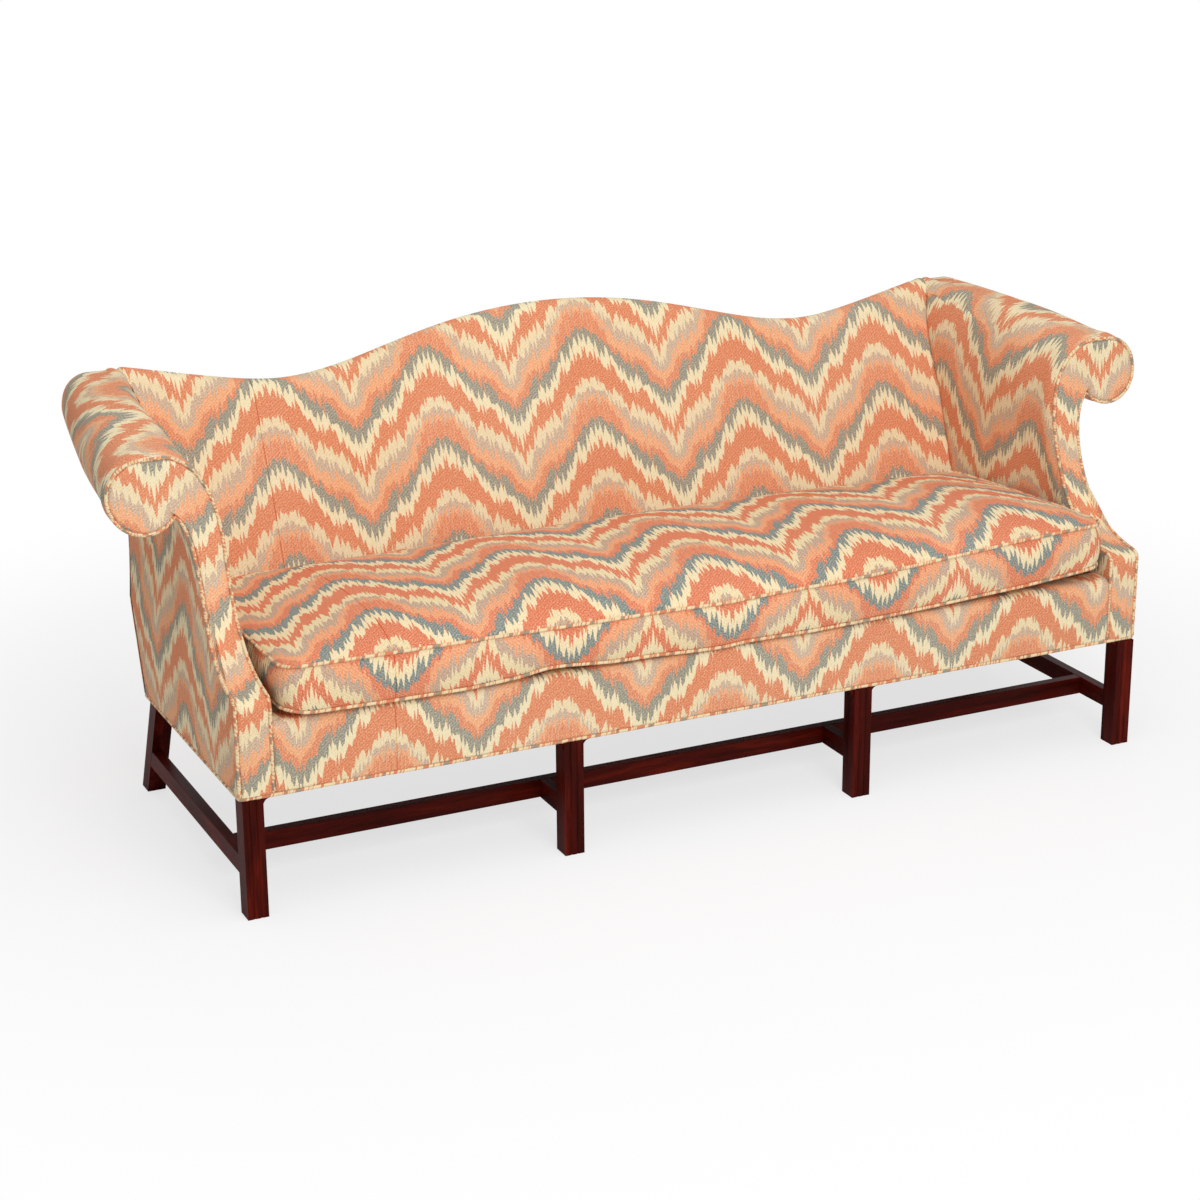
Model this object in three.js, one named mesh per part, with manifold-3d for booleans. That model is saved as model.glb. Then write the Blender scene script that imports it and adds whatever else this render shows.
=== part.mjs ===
// Camelback sofa with rolled, swept-back arms, a loose bench cushion and stretchered legs.
// Millimetres. X runs across the sofa, Y from the front legs to the back, Z up from the floor.
import * as THREE from 'three';
import { mergeVertices } from 'three/addons/utils/BufferGeometryUtils.js';
import Module from 'manifold-3d';

const wasm = await Module();
wasm.setup();

// Overall upholstered frame
const sofaWidth = 2000;
const baseDepth = 613;
const outerRakeDegrees = 19.3;
const backThickness = 76;
const crestThickness = 44;
const crownHeight = 914;
const dipHeight = 819;
const earHeight = 876;
const earSetIn = 41;

// Levels above the floor
const legHeight = 236.6;
const seatRailHeight = 113;
const deckThickness = 28.9;
const seatEdgeRise = 74;

// Cover, welts and running clearances
const weltRadius = 3.5;
const weltSink = 1.5;
const weltSlack = 0.9;
const bottomWeltTurn = 7;
const gap = 0.3;
const overrun = 60;
const cutReach = 180;

// Legs and stretchers
const legSide = 41;
const legProud = 5;
const legSetIn = 3;
const legReedDepth = 1.6;
const legReedWidth = 4;
const midLegSpread = 325.5;
const rearLegWidth = 38;
const rearLegDepth = 40;
const rearLegSetIn = 10;
const rearLegKick = 111;
const stretcherHeight = 38;
const stretcherBottom = 70;
const stretcherThickness = 22;
const endStretcherSetIn = 10;
const medialSetBack = 141.5;
const stubWidth = 21;
const bracketWidth = 14;
const bracketHeight = 17;
const bracketDepth = 24;

// Hidden timber
const tongueThickness = 7.4;
const braceThickness = 22;
const braceHeight = 50;
const blockLeg = 80;
const blockHeight = 55;
const frameThickness = 21;
const topRailDepth = 57;
const topRailPadding = 27;
const lowerRailHeight = 60;
const lowerRailLift = 36.9;
const stileWidth = 55;
const stileSpread = 325;
const postTaperHeight = 52;
const postWidth = 38;
const postSlack = 2;
const postPadding = 21.3;
const boardThickness = 20;
const boardInset = 10;
const armRailSlack = 1;
const armRailHeight = 44;
const armRailDrop = 2.4;
const armTackRailLift = 42;

// Arms
const armWidth = 69;
const armPadThickness = 22;
const armPadLean = 15;
const armFootHeight = 196;
const armFootRadius = 17;
const armSetBack = 249;
const armCurveTop = 780;
const scrollRadius = 71;
const scrollOverhang = 75;
const scrollHeight = 765;
const rearScrollRadius = 61;
const rearScrollOverhang = 18;
const rearScrollHeight = 808;
const rollSwell = 8;
const neckPinch = 18;
const rearNeckPinch = 30;
const notchDegrees = -141;
const rearNotchDegrees = -125;
const shoulderHeight = 645;
const shoulderRun = 35;
const rollUnderDrop = 18.8;

// Seat
const borderRollRadius = 18;
const borderDepth = 57;
const borderDrop = 4;
const webbingThickness = 2;
const webbingWidth = 62;
const webbingPitch = 160;
const longWebbingPitch = 150;
const dustCoverThickness = 2;
const deckSideGap = 5;
const cushionSideGap = 24;
const cushionRearGap = 6;
const cushionBoxing = 94;
const cushionTopCrown = 30;
const cushionBottomCrown = 16;
const cushionCornerRadius = 34;
const seamDepth = 5;
const boxingDraw = 3;
const padBulge = 9;

// Levels and planes worked out from the sizes above
const cover = 2 * weltRadius;
const halfWidth = sofaWidth / 2;
const frontFace = legProud;
const coverBottom = legHeight + gap;
const panelBottom = coverBottom + cover + gap;
const timberFace = frontFace + cover + gap;
const timberSide = halfWidth - cover - gap;
const railThickness = legSide - tongueThickness - gap - timberFace;
const dustCoverBottom = coverBottom + gap;
const railBottom = dustCoverBottom + dustCoverThickness + gap;
const railTop = railBottom + seatRailHeight;
const webbingBottom = railTop + gap;
const padBottom = webbingBottom + webbingThickness + gap;
const deckHeight = padBottom + deckThickness;
const borderHeight = deckHeight - borderDrop;
const seatLevel = deckHeight + seatEdgeRise;
const lowerRailBottom = padBottom + lowerRailLift;
const topRailBottom = Math.min(crownHeight, dipHeight, earHeight) - topRailPadding - topRailDepth;
const outerSlope = Math.tan(THREE.MathUtils.degToRad(outerRakeDegrees));
const thicknessTaper = (backThickness - crestThickness) / (earHeight - seatLevel);
const innerEdge = halfWidth - armWidth;
const cushionBottom = deckHeight + gap;
const rearLegOuter = halfWidth - rearLegSetIn;
const rearLegInner = rearLegOuter - rearLegWidth;
const postOuter = halfWidth - rearNeckPinch - postSlack;
const postInner = postOuter - postWidth;
const cornerLegOuter = halfWidth - legSetIn;
const cornerLegInner = cornerLegOuter - legSide;
const endStretcherInner = halfWidth - endStretcherSetIn - stretcherThickness;
const armFootTop = coverBottom + armFootHeight;
const postTop = earHeight - postPadding;

const outerY = (z) => frontFace + baseDepth + outerSlope * (z - coverBottom);
const innerY = (z) => outerY(z) - backThickness + thicknessTaper * (z - seatLevel);
const frameRearY = (z) => outerY(z) - cover - gap;
const frameFrontY = (z) => frameRearY(z) - frameThickness;

// Materials
const wood = { color: 0x3a130c, roughness: 0.32, metalness: 0 };
const timber = { color: 0xb99565, roughness: 0.8, metalness: 0 };
const flameStitch = { color: 0xd08a6a, roughness: 0.92, metalness: 0 };
const weltCloth = { color: 0xdcae84, roughness: 0.92, metalness: 0 };
const jute = { color: 0xb79a6b, roughness: 0.95, metalness: 0 };
const deckCloth = { color: 0xcbbd9c, roughness: 0.95, metalness: 0 };
const cambric = { color: 0x26262a, roughness: 0.95, metalness: 0 };

const sofa = new THREE.Group();

function add(name, geometry, look) {
  const mesh = new THREE.Mesh(geometry, new THREE.MeshStandardMaterial(look));
  mesh.name = name;
  sofa.add(mesh);
  return mesh;
}

// Solids: joining, cutting and mirroring closed geometries

function toSolid(geometry) {
  const bare = geometry.clone();
  bare.deleteAttribute('normal');
  bare.deleteAttribute('uv');
  const merged = mergeVertices(bare);
  return new wasm.Manifold(new wasm.Mesh({
    numProp: 3,
    vertProperties: new Float32Array(merged.attributes.position.array),
    triVerts: new Uint32Array(merged.index.array),
  }));
}

function toGeometry(solid) {
  const mesh = solid.getMesh();
  const geometry = new THREE.BufferGeometry();
  geometry.setAttribute('position', new THREE.BufferAttribute(new Float32Array(mesh.vertProperties), 3));
  geometry.setIndex(new THREE.BufferAttribute(new Uint32Array(mesh.triVerts), 1));
  geometry.computeVertexNormals();
  return geometry;
}

function cutAway(geometry, ...cutters) {
  let solid = toSolid(geometry);
  for (const cutter of cutters) {
    solid = solid.subtract(toSolid(cutter));
  }
  return toGeometry(solid);
}

const keepInside = (geometry, region) => toGeometry(toSolid(geometry).intersect(toSolid(region)));

const join = (...pieces) => toGeometry(pieces.map(toSolid).reduce((whole, piece) => whole.add(piece)));

function mirrored(geometry) {
  const copy = geometry.index ? geometry.clone() : mergeVertices(geometry);
  copy.scale(-1, 1, 1);
  const index = copy.index.array;
  for (let i = 0; i < index.length; i += 3) {
    [index[i + 1], index[i + 2]] = [index[i + 2], index[i + 1]];
  }
  copy.computeVertexNormals();
  return copy;
}

// A piece made for the right-hand end, with its mirror image at the left-hand end
function addPair(name, geometry, look) {
  add(`${name}_right`, geometry, look);
  add(`${name}_left`, mirrored(geometry), look);
}

// Prisms: an outline swept along one axis

function sweep(outline, from, to) {
  const shape = new THREE.Shape(outline.map(([a, b]) => new THREE.Vector2(a, b)));
  const geometry = new THREE.ExtrudeGeometry(shape, { depth: to - from, bevelEnabled: false });
  return geometry.translate(0, 0, from);
}

// Outline in (x, y), swept up
const upward = (outline, from, to) => sweep(outline, from, to);

// Outline in (y, z), swept across
function across(outline, from, to) {
  const turn = new THREE.Matrix4().makeBasis(
    new THREE.Vector3(0, 1, 0), new THREE.Vector3(0, 0, 1), new THREE.Vector3(1, 0, 0));
  return sweep(outline, from, to).applyMatrix4(turn);
}

// Outline in (x, z), swept from front to back
function backward(outline, from, to) {
  return sweep(outline, -to, -from).rotateX(Math.PI / 2);
}

function block(x0, x1, y0, y1, z0, z1) {
  const box = new THREE.BoxGeometry(x1 - x0, y1 - y0, z1 - z0);
  return box.translate((x0 + x1) / 2, (y0 + y1) / 2, (z0 + z1) / 2);
}

// Leans a piece drawn upright at the cover's bottom edge along the raked back
function rakeBack(geometry) {
  const place = geometry.attributes.position;
  for (let i = 0; i < place.count; i += 1) {
    place.setY(i, place.getY(i) + outerSlope * (place.getZ(i) - coverBottom));
  }
  geometry.computeVertexNormals();
  return geometry;
}

// Lofts: rings of points skinned into one closed body

function loft(rings, closedPath = false) {
  const size = rings[0].length;
  const points = rings.flat();
  const faces = [];
  const steps = closedPath ? rings.length : rings.length - 1;
  for (let i = 0; i < steps; i += 1) {
    const next = (i + 1) % rings.length;
    for (let j = 0; j < size; j += 1) {
      const k = (j + 1) % size;
      const [a, b] = [i * size + j, i * size + k];
      const [c, d] = [next * size + k, next * size + j];
      faces.push([a, b, c], [a, c, d]);
    }
  }
  if (!closedPath) {
    const last = (rings.length - 1) * size;
    capFaces(rings[0]).forEach(([a, b, c]) => faces.push([a, c, b]));
    capFaces(rings.at(-1)).forEach(([a, b, c]) => faces.push([last + a, last + b, last + c]));
  }
  return outward(points, faces);
}

// Splits a nearly flat ring into triangles that turn the way the ring runs
function capFaces(ring) {
  const normal = ringNormal(ring);
  const side = Math.abs(normal.z) > Math.SQRT1_2 ? new THREE.Vector3(1, 0, 0) : new THREE.Vector3(0, 0, 1);
  const u = side.clone().cross(normal).normalize();
  const v = normal.clone().cross(u);
  const flat = ring.map((p) => new THREE.Vector2(p.dot(u), p.dot(v)));
  return THREE.ShapeUtils.triangulateShape(flat, []);
}

function ringNormal(ring) {
  const normal = new THREE.Vector3();
  ring.forEach((p, i) => normal.add(p.clone().cross(ring[(i + 1) % ring.length])));
  return normal.normalize();
}

function outward(points, faces) {
  let volume = 0;
  for (const [a, b, c] of faces) {
    volume += points[a].dot(points[b].clone().cross(points[c]));
  }
  const turned = volume < 0 ? faces.map(([a, b, c]) => [a, c, b]) : faces;
  const geometry = new THREE.BufferGeometry().setFromPoints(points);
  geometry.setIndex(turned.flat());
  geometry.computeVertexNormals();
  return geometry;
}

// A round cord along a list of points
function cord(points, radius, sides, closedPath) {
  const last = points.length - 1;
  const rings = points.map((point, i) => {
    const before = closedPath ? points[(i + last) % points.length] : points[Math.max(i - 1, 0)];
    const after = closedPath ? points[(i + 1) % points.length] : points[Math.min(i + 1, last)];
    const along = after.clone().sub(before).normalize();
    return { point, along };
  });
  let side = new THREE.Vector3(0, 1, 0);
  if (Math.abs(rings[0].along.y) > Math.SQRT1_2) {
    side = new THREE.Vector3(0, 0, 1);
  }
  return loft(rings.map(({ point, along }) => {
    const u = side.sub(along.clone().multiplyScalar(side.dot(along))).normalize();
    const v = along.clone().cross(u);
    side = u.clone();
    return Array.from({ length: sides }, (_, k) => {
      const turn = 2 * Math.PI * k / sides;
      return point.clone()
        .add(u.clone().multiplyScalar(radius * Math.cos(turn)))
        .add(v.clone().multiplyScalar(radius * Math.sin(turn)));
    });
  }), closedPath);
}

const mix = (a, b, share) => a + (b - a) * share;
const flip = (outline) => outline.map(([a, b]) => [-a, b]).reverse();

function bezier(p0, p1, p2, p3, steps) {
  const curve = new THREE.CubicBezierCurve(...[p0, p1, p2, p3].map((p) => new THREE.Vector2(...p)));
  return curve.getPoints(steps).map((p) => [p.x, p.y]);
}

// Legs and stretchers

// Front legs: a square section with two grooves down its front face, which leave a reed between them
function frontLegOutline(centre) {
  const left = centre - legSide / 2;
  const right = centre + legSide / 2;
  const groove = (place) => [
    [place - legReedWidth / 2, 0],
    [place, legReedDepth],
    [place + legReedWidth / 2, 0],
  ];
  const grooveShares = [1 / 3, 2 / 3];
  const grooves = grooveShares.flatMap((share) => groove(mix(left, right, share)));
  return [[left, 0], ...grooves, [right, 0], [right, legSide], [left, legSide]];
}

function cornerLeg() {
  const foot = upward(frontLegOutline(cornerLegInner + legSide / 2), 0, legHeight);
  const stump = block(cornerLegInner, timberSide, timberFace, legSide, legHeight - gap, railTop);
  return join(foot, stump);
}

function middleLeg() {
  const foot = upward(frontLegOutline(midLegSpread), 0, legHeight);
  const tongue = block(midLegSpread - legSide / 2, midLegSpread + legSide / 2,
    legSide - tongueThickness, legSide, legHeight - gap, railTop - gap);
  return join(foot, tongue);
}

// Rear legs kick back from the seat rail to the floor, with a stump in the corner of the rails
const stumpFrontY = (z) => frameRearY(z) - rearLegDepth;
const rearLegFrontY = (z) => mix(stumpFrontY(legHeight) + rearLegKick, stumpFrontY(legHeight), z / legHeight);

function rearLeg() {
  const outline = [
    [rearLegFrontY(0), 0],
    [rearLegFrontY(0) + rearLegDepth, 0],
    [frameRearY(legHeight), legHeight],
    [frameRearY(railTop), railTop],
    [stumpFrontY(railTop), railTop],
    [stumpFrontY(legHeight), legHeight],
  ];
  return across(outline, rearLegInner, rearLegOuter);
}

function endStretcher() {
  const low = stretcherBottom;
  const high = stretcherBottom + stretcherHeight;
  const outline = [
    [legSide + gap, low],
    [rearLegFrontY(low) - gap, low],
    [rearLegFrontY(high) - gap, high],
    [legSide + gap, high],
  ];
  return across(outline, endStretcherInner, endStretcherInner + stretcherThickness);
}

function medialStretcher() {
  const reach = endStretcherInner - gap;
  return block(-reach, reach, medialSetBack, medialSetBack + stretcherThickness,
    stretcherBottom, stretcherBottom + stretcherHeight);
}

function stubStretcher() {
  return block(midLegSpread - stubWidth / 2, midLegSpread + stubWidth / 2, legSide + gap,
    medialSetBack - gap, stretcherBottom, stretcherBottom + stretcherHeight);
}

// A coved bracket in the angle between a leg's side and the rail above it
function bracket(face, direction) {
  const top = legHeight;
  const near = face + direction * gap;
  const cove = bezier(
    [near + direction * bracketWidth, top],
    [near + direction * bracketWidth / 2, top],
    [near, top - bracketHeight / 2],
    [near, top - bracketHeight], 5);
  const outline = [[near, top], ...cove];
  return backward(direction > 0 ? outline : outline.reverse(), legProud, legProud + bracketDepth);
}

addPair('front_leg_outer', cornerLeg(), wood);
addPair('front_leg_inner', middleLeg(), wood);
addPair('rear_leg', rearLeg(), wood);
addPair('end_stretcher', endStretcher(), wood);
add('medial_stretcher', medialStretcher(), wood);
addPair('stub_stretcher', stubStretcher(), wood);
addPair('leg_bracket_outer', bracket(cornerLegInner, -1), wood);
addPair('leg_bracket_middle', bracket(midLegSpread + legSide / 2, 1), wood);
addPair('leg_bracket_inner', bracket(midLegSpread - legSide / 2, -1), wood);

// Seat frame

function frontRail() {
  const reach = cornerLegInner - gap;
  return block(-reach, reach, timberFace, timberFace + railThickness, railBottom, railTop);
}

function sideRail() {
  const outline = [
    [legSide + gap, railBottom],
    [stumpFrontY(railBottom) - gap, railBottom],
    [stumpFrontY(railTop) - gap, railTop],
    [legSide + gap, railTop],
  ];
  return across(outline, timberSide - railThickness, timberSide);
}

function rearRail() {
  const reach = rearLegInner - gap;
  const rear = frameRearY(coverBottom);
  return rakeBack(block(-reach, reach, rear - railThickness, rear, railBottom, railTop));
}

function seatBrace() {
  const top = railTop - gap;
  const bottom = top - braceHeight;
  const rear = (z) => frameRearY(z) - railThickness - gap;
  const outline = [
    [legSide + gap, bottom],
    [rear(bottom), bottom],
    [rear(top), top],
    [legSide + gap, top],
  ];
  return across(outline, midLegSpread - braceThickness / 2, midLegSpread + braceThickness / 2);
}

// Glue blocks that brace the rails' corners, notched round the front leg's stump
function frontCornerBlock() {
  const side = timberSide - railThickness - gap;
  const front = timberFace + railThickness + gap;
  const outline = [
    [side, legSide + gap],
    [side, legSide + blockLeg],
    [side - blockLeg, front],
    [cornerLegInner - gap, front],
    [cornerLegInner - gap, legSide + gap],
  ];
  const top = railTop - gap;
  return upward(outline, top - blockHeight, top);
}

function rearCornerBlock() {
  const side = timberSide - railThickness - gap;
  const rear = frameRearY(coverBottom) - railThickness - gap;
  const stump = frameRearY(coverBottom) - rearLegDepth - gap;
  const outline = [
    [rearLegInner - gap, rear],
    [side - blockLeg, rear],
    [side, stump - blockLeg],
    [side, stump],
    [rearLegInner - gap, stump],
  ];
  const top = railTop - gap;
  return rakeBack(upward(outline, top - blockHeight, top));
}

add('seat_front_rail', frontRail(), timber);
add('seat_rear_rail', rearRail(), timber);
addPair('seat_side_rail', sideRail(), timber);
addPair('seat_brace', seatBrace(), timber);
addPair('front_corner_block', frontCornerBlock(), timber);
addPair('rear_corner_block', rearCornerBlock(), timber);

// Back frame

// The camel back's top line, as height over distance from the centre
const dipPlaceShare = 0.62;
const dipPlace = halfWidth * dipPlaceShare;
const earPlace = halfWidth - earSetIn;

function crestPoints() {
  const [crownHoldShare, crownFallShare] = [0.47, 0.71];
  const [dipHoldShare, earRiseShare, earBendShare] = [0.24, 0.62, 0.44];
  const steps = 9;
  const hump = bezier([0, crownHeight], [dipPlace * crownHoldShare, crownHeight],
    [dipPlace * crownFallShare, dipHeight], [dipPlace, dipHeight], steps);
  const rise = bezier([dipPlace, dipHeight], [mix(dipPlace, earPlace, dipHoldShare), dipHeight],
    [mix(dipPlace, earPlace, earRiseShare), mix(earHeight, dipHeight, earBendShare)],
    [earPlace, earHeight], steps);
  return [...hump, ...rise.slice(1)];
}

// A tapered post that stands on each rear leg and carries the arm's roll and the top rail
const postTaperTop = webbingBottom + postTaperHeight;

function postFrontY(z) {
  const share = Math.max(0, (postTaperTop - z) / postTaperHeight);
  return frameFrontY(z) - (rearLegDepth - frameThickness) * share;
}

function postOutline(clearance) {
  const low = webbingBottom - clearance;
  const high = postTop + clearance;
  return [
    [postFrontY(low) - clearance, low],
    [frameRearY(low) + clearance, low],
    [frameRearY(high) + clearance, high],
    [postFrontY(high) - clearance, high],
    [postFrontY(postTaperTop) - clearance, postTaperTop],
  ];
}

const backPost = (clearance) => across(postOutline(clearance),
  postInner - clearance, postOuter + clearance);

function topRail(clearance) {
  const reach = postInner - gap;
  const crest = crestPoints()
    .map(([x, z]) => [x, z - topRailPadding + clearance])
    .filter(([x]) => x < reach);
  const end = [reach, crest.at(-1)[1]];
  const right = [...crest.slice(1), end, [reach, topRailBottom - clearance]];
  const outline = [crest[0], ...right, ...flip(right)];
  const rear = frameRearY(coverBottom);
  return rakeBack(backward(outline.reverse(), rear - frameThickness - clearance, rear + clearance));
}

function lowerBackRail() {
  const reach = postInner - gap;
  const rear = frameRearY(coverBottom);
  return rakeBack(block(-reach, reach, rear - frameThickness, rear,
    lowerRailBottom, lowerRailBottom + lowerRailHeight));
}

function backStile() {
  const rear = frameRearY(coverBottom);
  return rakeBack(block(stileSpread - stileWidth / 2, stileSpread + stileWidth / 2,
    rear - frameThickness, rear, lowerRailBottom + lowerRailHeight + gap, topRailBottom - gap));
}

addPair('back_post', backPost(0), timber);
add('back_top_rail', topRail(0), timber);
add('back_lower_rail', lowerBackRail(), timber);
addPair('back_stile', backStile(), timber);

// Arms

// The arm's front seen from the side: an upright foot, a step back and a hollow sweep up to the scroll.
// Points run up the front, moved inwards by a depth.
function armFrontLine(depth, bottom, top) {
  const corner = [frontFace + armFootRadius, armFootTop - armFootRadius];
  const sweepStart = [corner[0], armFootTop];
  const scrollPlane = frontFace + armSetBack;
  const [stepRunShare, stepRiseShare, upRunShare, upRiseShare] = [0.63, 0.07, 0.87, 0.36];
  const at = (runShare, riseShare) => new THREE.Vector2(
    mix(sweepStart[0], scrollPlane, runShare), mix(sweepStart[1], armCurveTop, riseShare));
  const round = new THREE.EllipseCurve(...corner, armFootRadius, armFootRadius, Math.PI, Math.PI / 2, true);
  const sweepUp = new THREE.CubicBezierCurve(
    at(0, 0), at(stepRunShare, stepRiseShare), at(upRunShare, upRiseShare), at(1, 1));
  const points = [];
  for (const [curve, steps] of [[round, 6], [sweepUp, 16]]) {
    for (let i = 0; i <= steps; i += 1) {
      const point = curve.getPoint(i / steps);
      const along = curve.getTangent(i / steps);
      points.push([point.x + along.y * depth, point.y - along.x * depth]);
    }
  }
  const footY = frontFace + depth;
  const rising = points.filter(([y]) => y > footY + gap);
  return [[footY, bottom], [footY, rising[0][1]], ...rising, [scrollPlane + depth, top]];
}

const armTop = Math.max(scrollHeight + scrollRadius, rearScrollHeight + rearScrollRadius) + overrun;

// Everything in front of a given depth behind the arm's front surface
function inFrontOfArm(depth) {
  const low = coverBottom - overrun;
  const line = armFrontLine(depth, low, armTop);
  return across([...line, [-overrun, armTop], [-overrun, low]].reverse(), innerEdge - overrun,
    halfWidth + scrollOverhang + scrollRadius + overrun);
}

// A layer between two depths behind the arm's front surface
function armLayer(near, far, bottom) {
  const front = armFrontLine(near, bottom, armTop);
  const back = armFrontLine(far, bottom, armTop);
  return across([...front, ...back.reverse()].reverse(), innerEdge - overrun,
    halfWidth + scrollOverhang + scrollRadius + overrun);
}

// The arm seen from the front, at a share of the way from the scroll to the back post
function armShape(share) {
  const swell = rollSwell * Math.sin(Math.PI * share);
  const centre = [
    halfWidth + mix(scrollOverhang, rearScrollOverhang, share),
    mix(scrollHeight, rearScrollHeight, share),
  ];
  const radius = mix(scrollRadius, rearScrollRadius, share) + swell;
  const notchTurn = THREE.MathUtils.degToRad(mix(notchDegrees, rearNotchDegrees, share));
  const lowEdge = innerEdge - armPadLean * share;
  const shoulderTop = [centre[0] - shoulderRun, centre[1] + radius];
  const [shoulderOutShare, shoulderDropShare] = [0.5, 0.32];
  const shoulder = bezier([innerEdge, shoulderHeight],
    [innerEdge, mix(shoulderTop[1], shoulderHeight, shoulderDropShare)],
    [mix(shoulderTop[0], innerEdge, shoulderOutShare), shoulderTop[1]], shoulderTop, 8);
  const scroll = [];
  const turns = 16;
  for (let i = 0; i <= turns; i += 1) {
    const turn = mix(Math.PI / 2, notchTurn, i / turns);
    scroll.push([centre[0] + radius * Math.cos(turn), centre[1] + radius * Math.sin(turn)]);
  }
  return { lowEdge, shoulder, scroll, notch: scroll.at(-1) };
}

// The arm's outer side below the roll, from the roll's notch down to the foot
function neckLine(share) {
  const { notch } = armShape(share);
  const pinch = mix(neckPinch, rearNeckPinch, share);
  const [swayShare, swayRiseShare, nipRiseShare] = [0.88, 0.447, 0.895];
  return bezier(notch, [halfWidth - pinch, mix(armFootTop, notch[1], nipRiseShare)],
    [halfWidth - pinch * swayShare, mix(armFootTop, notch[1], swayRiseShare)], [halfWidth, armFootTop], 8);
}

// Moves an open outline to its right by a distance, with mitred corners
function insetLine(points, distance) {
  const normal = (from, to) => {
    const length = Math.hypot(to[0] - from[0], to[1] - from[1]);
    return [(to[1] - from[1]) / length, (from[0] - to[0]) / length];
  };
  return points.map((point, i) => {
    const before = normal(points[Math.max(i - 1, 0)], points[Math.max(i, 1)]);
    const after = normal(points[Math.min(i, points.length - 2)], points[Math.min(i + 1, points.length - 1)]);
    const reach = distance / (1 + before[0] * after[0] + before[1] * after[1]);
    return [point[0] + (before[0] + after[0]) * reach, point[1] + (before[1] + after[1]) * reach];
  });
}

// The whole front outline of an arm, from its inner bottom corner over the roll to its outer bottom corner
function armOutline(share, inset, bottom) {
  const { shoulder, scroll, lowEdge } = armShape(share);
  const side = [...neckLine(share).slice(1), [halfWidth, bottom]];
  const moved = insetLine([[lowEdge, bottom], ...shoulder, ...scroll.slice(1), ...side], inset);
  return [[moved[0][0], bottom], ...moved.slice(1, -1), [moved.at(-1)[0], bottom]];
}

const armBehindBoard = cover + gap + boardThickness + gap;
const armBehindWelt = cover + weltSlack;
const armPadBack = innerEdge + armPadThickness - gap;

function armFacing() {
  const outline = armOutline(0, weltSink + weltRadius + gap, panelBottom);
  return keepInside(backward(outline, -overrun, armSetBack + overrun),
    armLayer(0, cover, coverBottom - overrun));
}

function armBoard(clearance) {
  const outline = armOutline(0, boardInset - clearance, webbingBottom - clearance);
  return keepInside(backward(outline, -overrun, armSetBack + overrun),
    armLayer(cover + gap - clearance, cover + gap + boardThickness + clearance, coverBottom - overrun));
}

// The welt round the facing lies along its edge, half as deep as the cover
function facingWelt() {
  const line = armFrontLine(weltRadius, panelBottom, armTop);
  const depthAt = (z) => {
    const i = Math.max(1, line.findIndex(([, height]) => height >= z));
    const [[y0, z0], [y1, z1]] = [line[i - 1], line[i]];
    return mix(y0, y1, (z - z0) / (z1 - z0));
  };
  const outline = armOutline(0, weltSink, panelBottom);
  const edge = (x, top) => line.filter(([, z]) => z < top - weltRadius)
    .map(([y, z]) => new THREE.Vector3(x, y, z));
  const inner = edge(outline[0][0], outline[1][1]);
  const outer = edge(outline.at(-1)[0], outline.at(-2)[1]);
  const over = outline.slice(1, -2).map(([x, z]) => new THREE.Vector3(x, depthAt(z), z));
  const sides = 6;
  return cord([...inner, ...over, ...outer.reverse()], weltRadius, sides, false);
}

// Share of the way back along the roll
const rollLength = outerY(rearScrollHeight) - frontFace - armSetBack;
const rollShare = (y) => THREE.MathUtils.clamp((y - frontFace - armSetBack) / rollLength, 0, 1);

function armStations() {
  const start = frontFace + armSetBack;
  const steps = 6;
  const along = Array.from({ length: steps + 1 }, (_, i) => start + rollLength * i / steps);
  return [-overrun, ...along, outerY(rearScrollHeight) + overrun];
}

// The inside arm and the roll that crowns it, padded over the timber
function insideArmRing(y) {
  const share = rollShare(y);
  const { shoulder, scroll, lowEdge, notch } = armShape(share);
  const under = [armPadBack, notch[1] - rollUnderDrop];
  const ring = [[lowEdge, padBottom], ...shoulder, ...scroll, under, [armPadBack, padBottom]];
  return ring.map(([x, z]) => new THREE.Vector3(x, y, z));
}

// Everything behind a plane of the back, between two levels and two distances from the centre
const behindBack = (depthAt, low, high, inner, outer) => across([
  [depthAt(low), low],
  [depthAt(high) + cutReach, low],
  [depthAt(high) + cutReach, high],
  [depthAt(high), high],
], inner, outer);

function insideArm() {
  const low = coverBottom - overrun;
  return cutAway(loft(armStations().map(insideArmRing)),
    inFrontOfArm(armBehindWelt),
    armBoard(gap),
    behindBack((z) => innerY(z) - gap, low, armTop, innerEdge - overrun, earPlace + gap),
    behindBack(outerY, low, armTop, innerEdge - overrun, halfWidth + cutReach),
    backPost(gap),
    outsideBack(gap));
}

// The outside arm, one flat panel from under the roll down to the welt
function outsideArmRing(y) {
  const share = rollShare(y);
  const reachShare = 0.07;
  const outer = neckLine(share);
  outer[0] = [mix(outer[0][0], outer[1][0], reachShare), mix(outer[0][1], outer[1][1], reachShare)];
  const inner = outer.slice(1).map(([x, z]) => [x - cover, z]);
  const ring = [...outer, [halfWidth, panelBottom], [halfWidth - cover, panelBottom], ...inner.reverse()];
  return ring.map(([x, z]) => new THREE.Vector3(x, y, z));
}

function outsideArm() {
  const low = coverBottom - overrun;
  return cutAway(loft(armStations().map(outsideArmRing)),
    inFrontOfArm(armBehindWelt),
    behindBack((z) => outerY(z) - cover - gap, low, armTop, innerEdge - overrun, halfWidth + cutReach));
}

// Rails between the arm's front board and the back post
const lowestNotch = Math.min(armShape(0).notch[1], armShape(1).notch[1]);
const armTopRailBottom = lowestNotch - rollUnderDrop - armRailDrop - armRailHeight;
const armTackRailBottom = padBottom + armTackRailLift;

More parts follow.
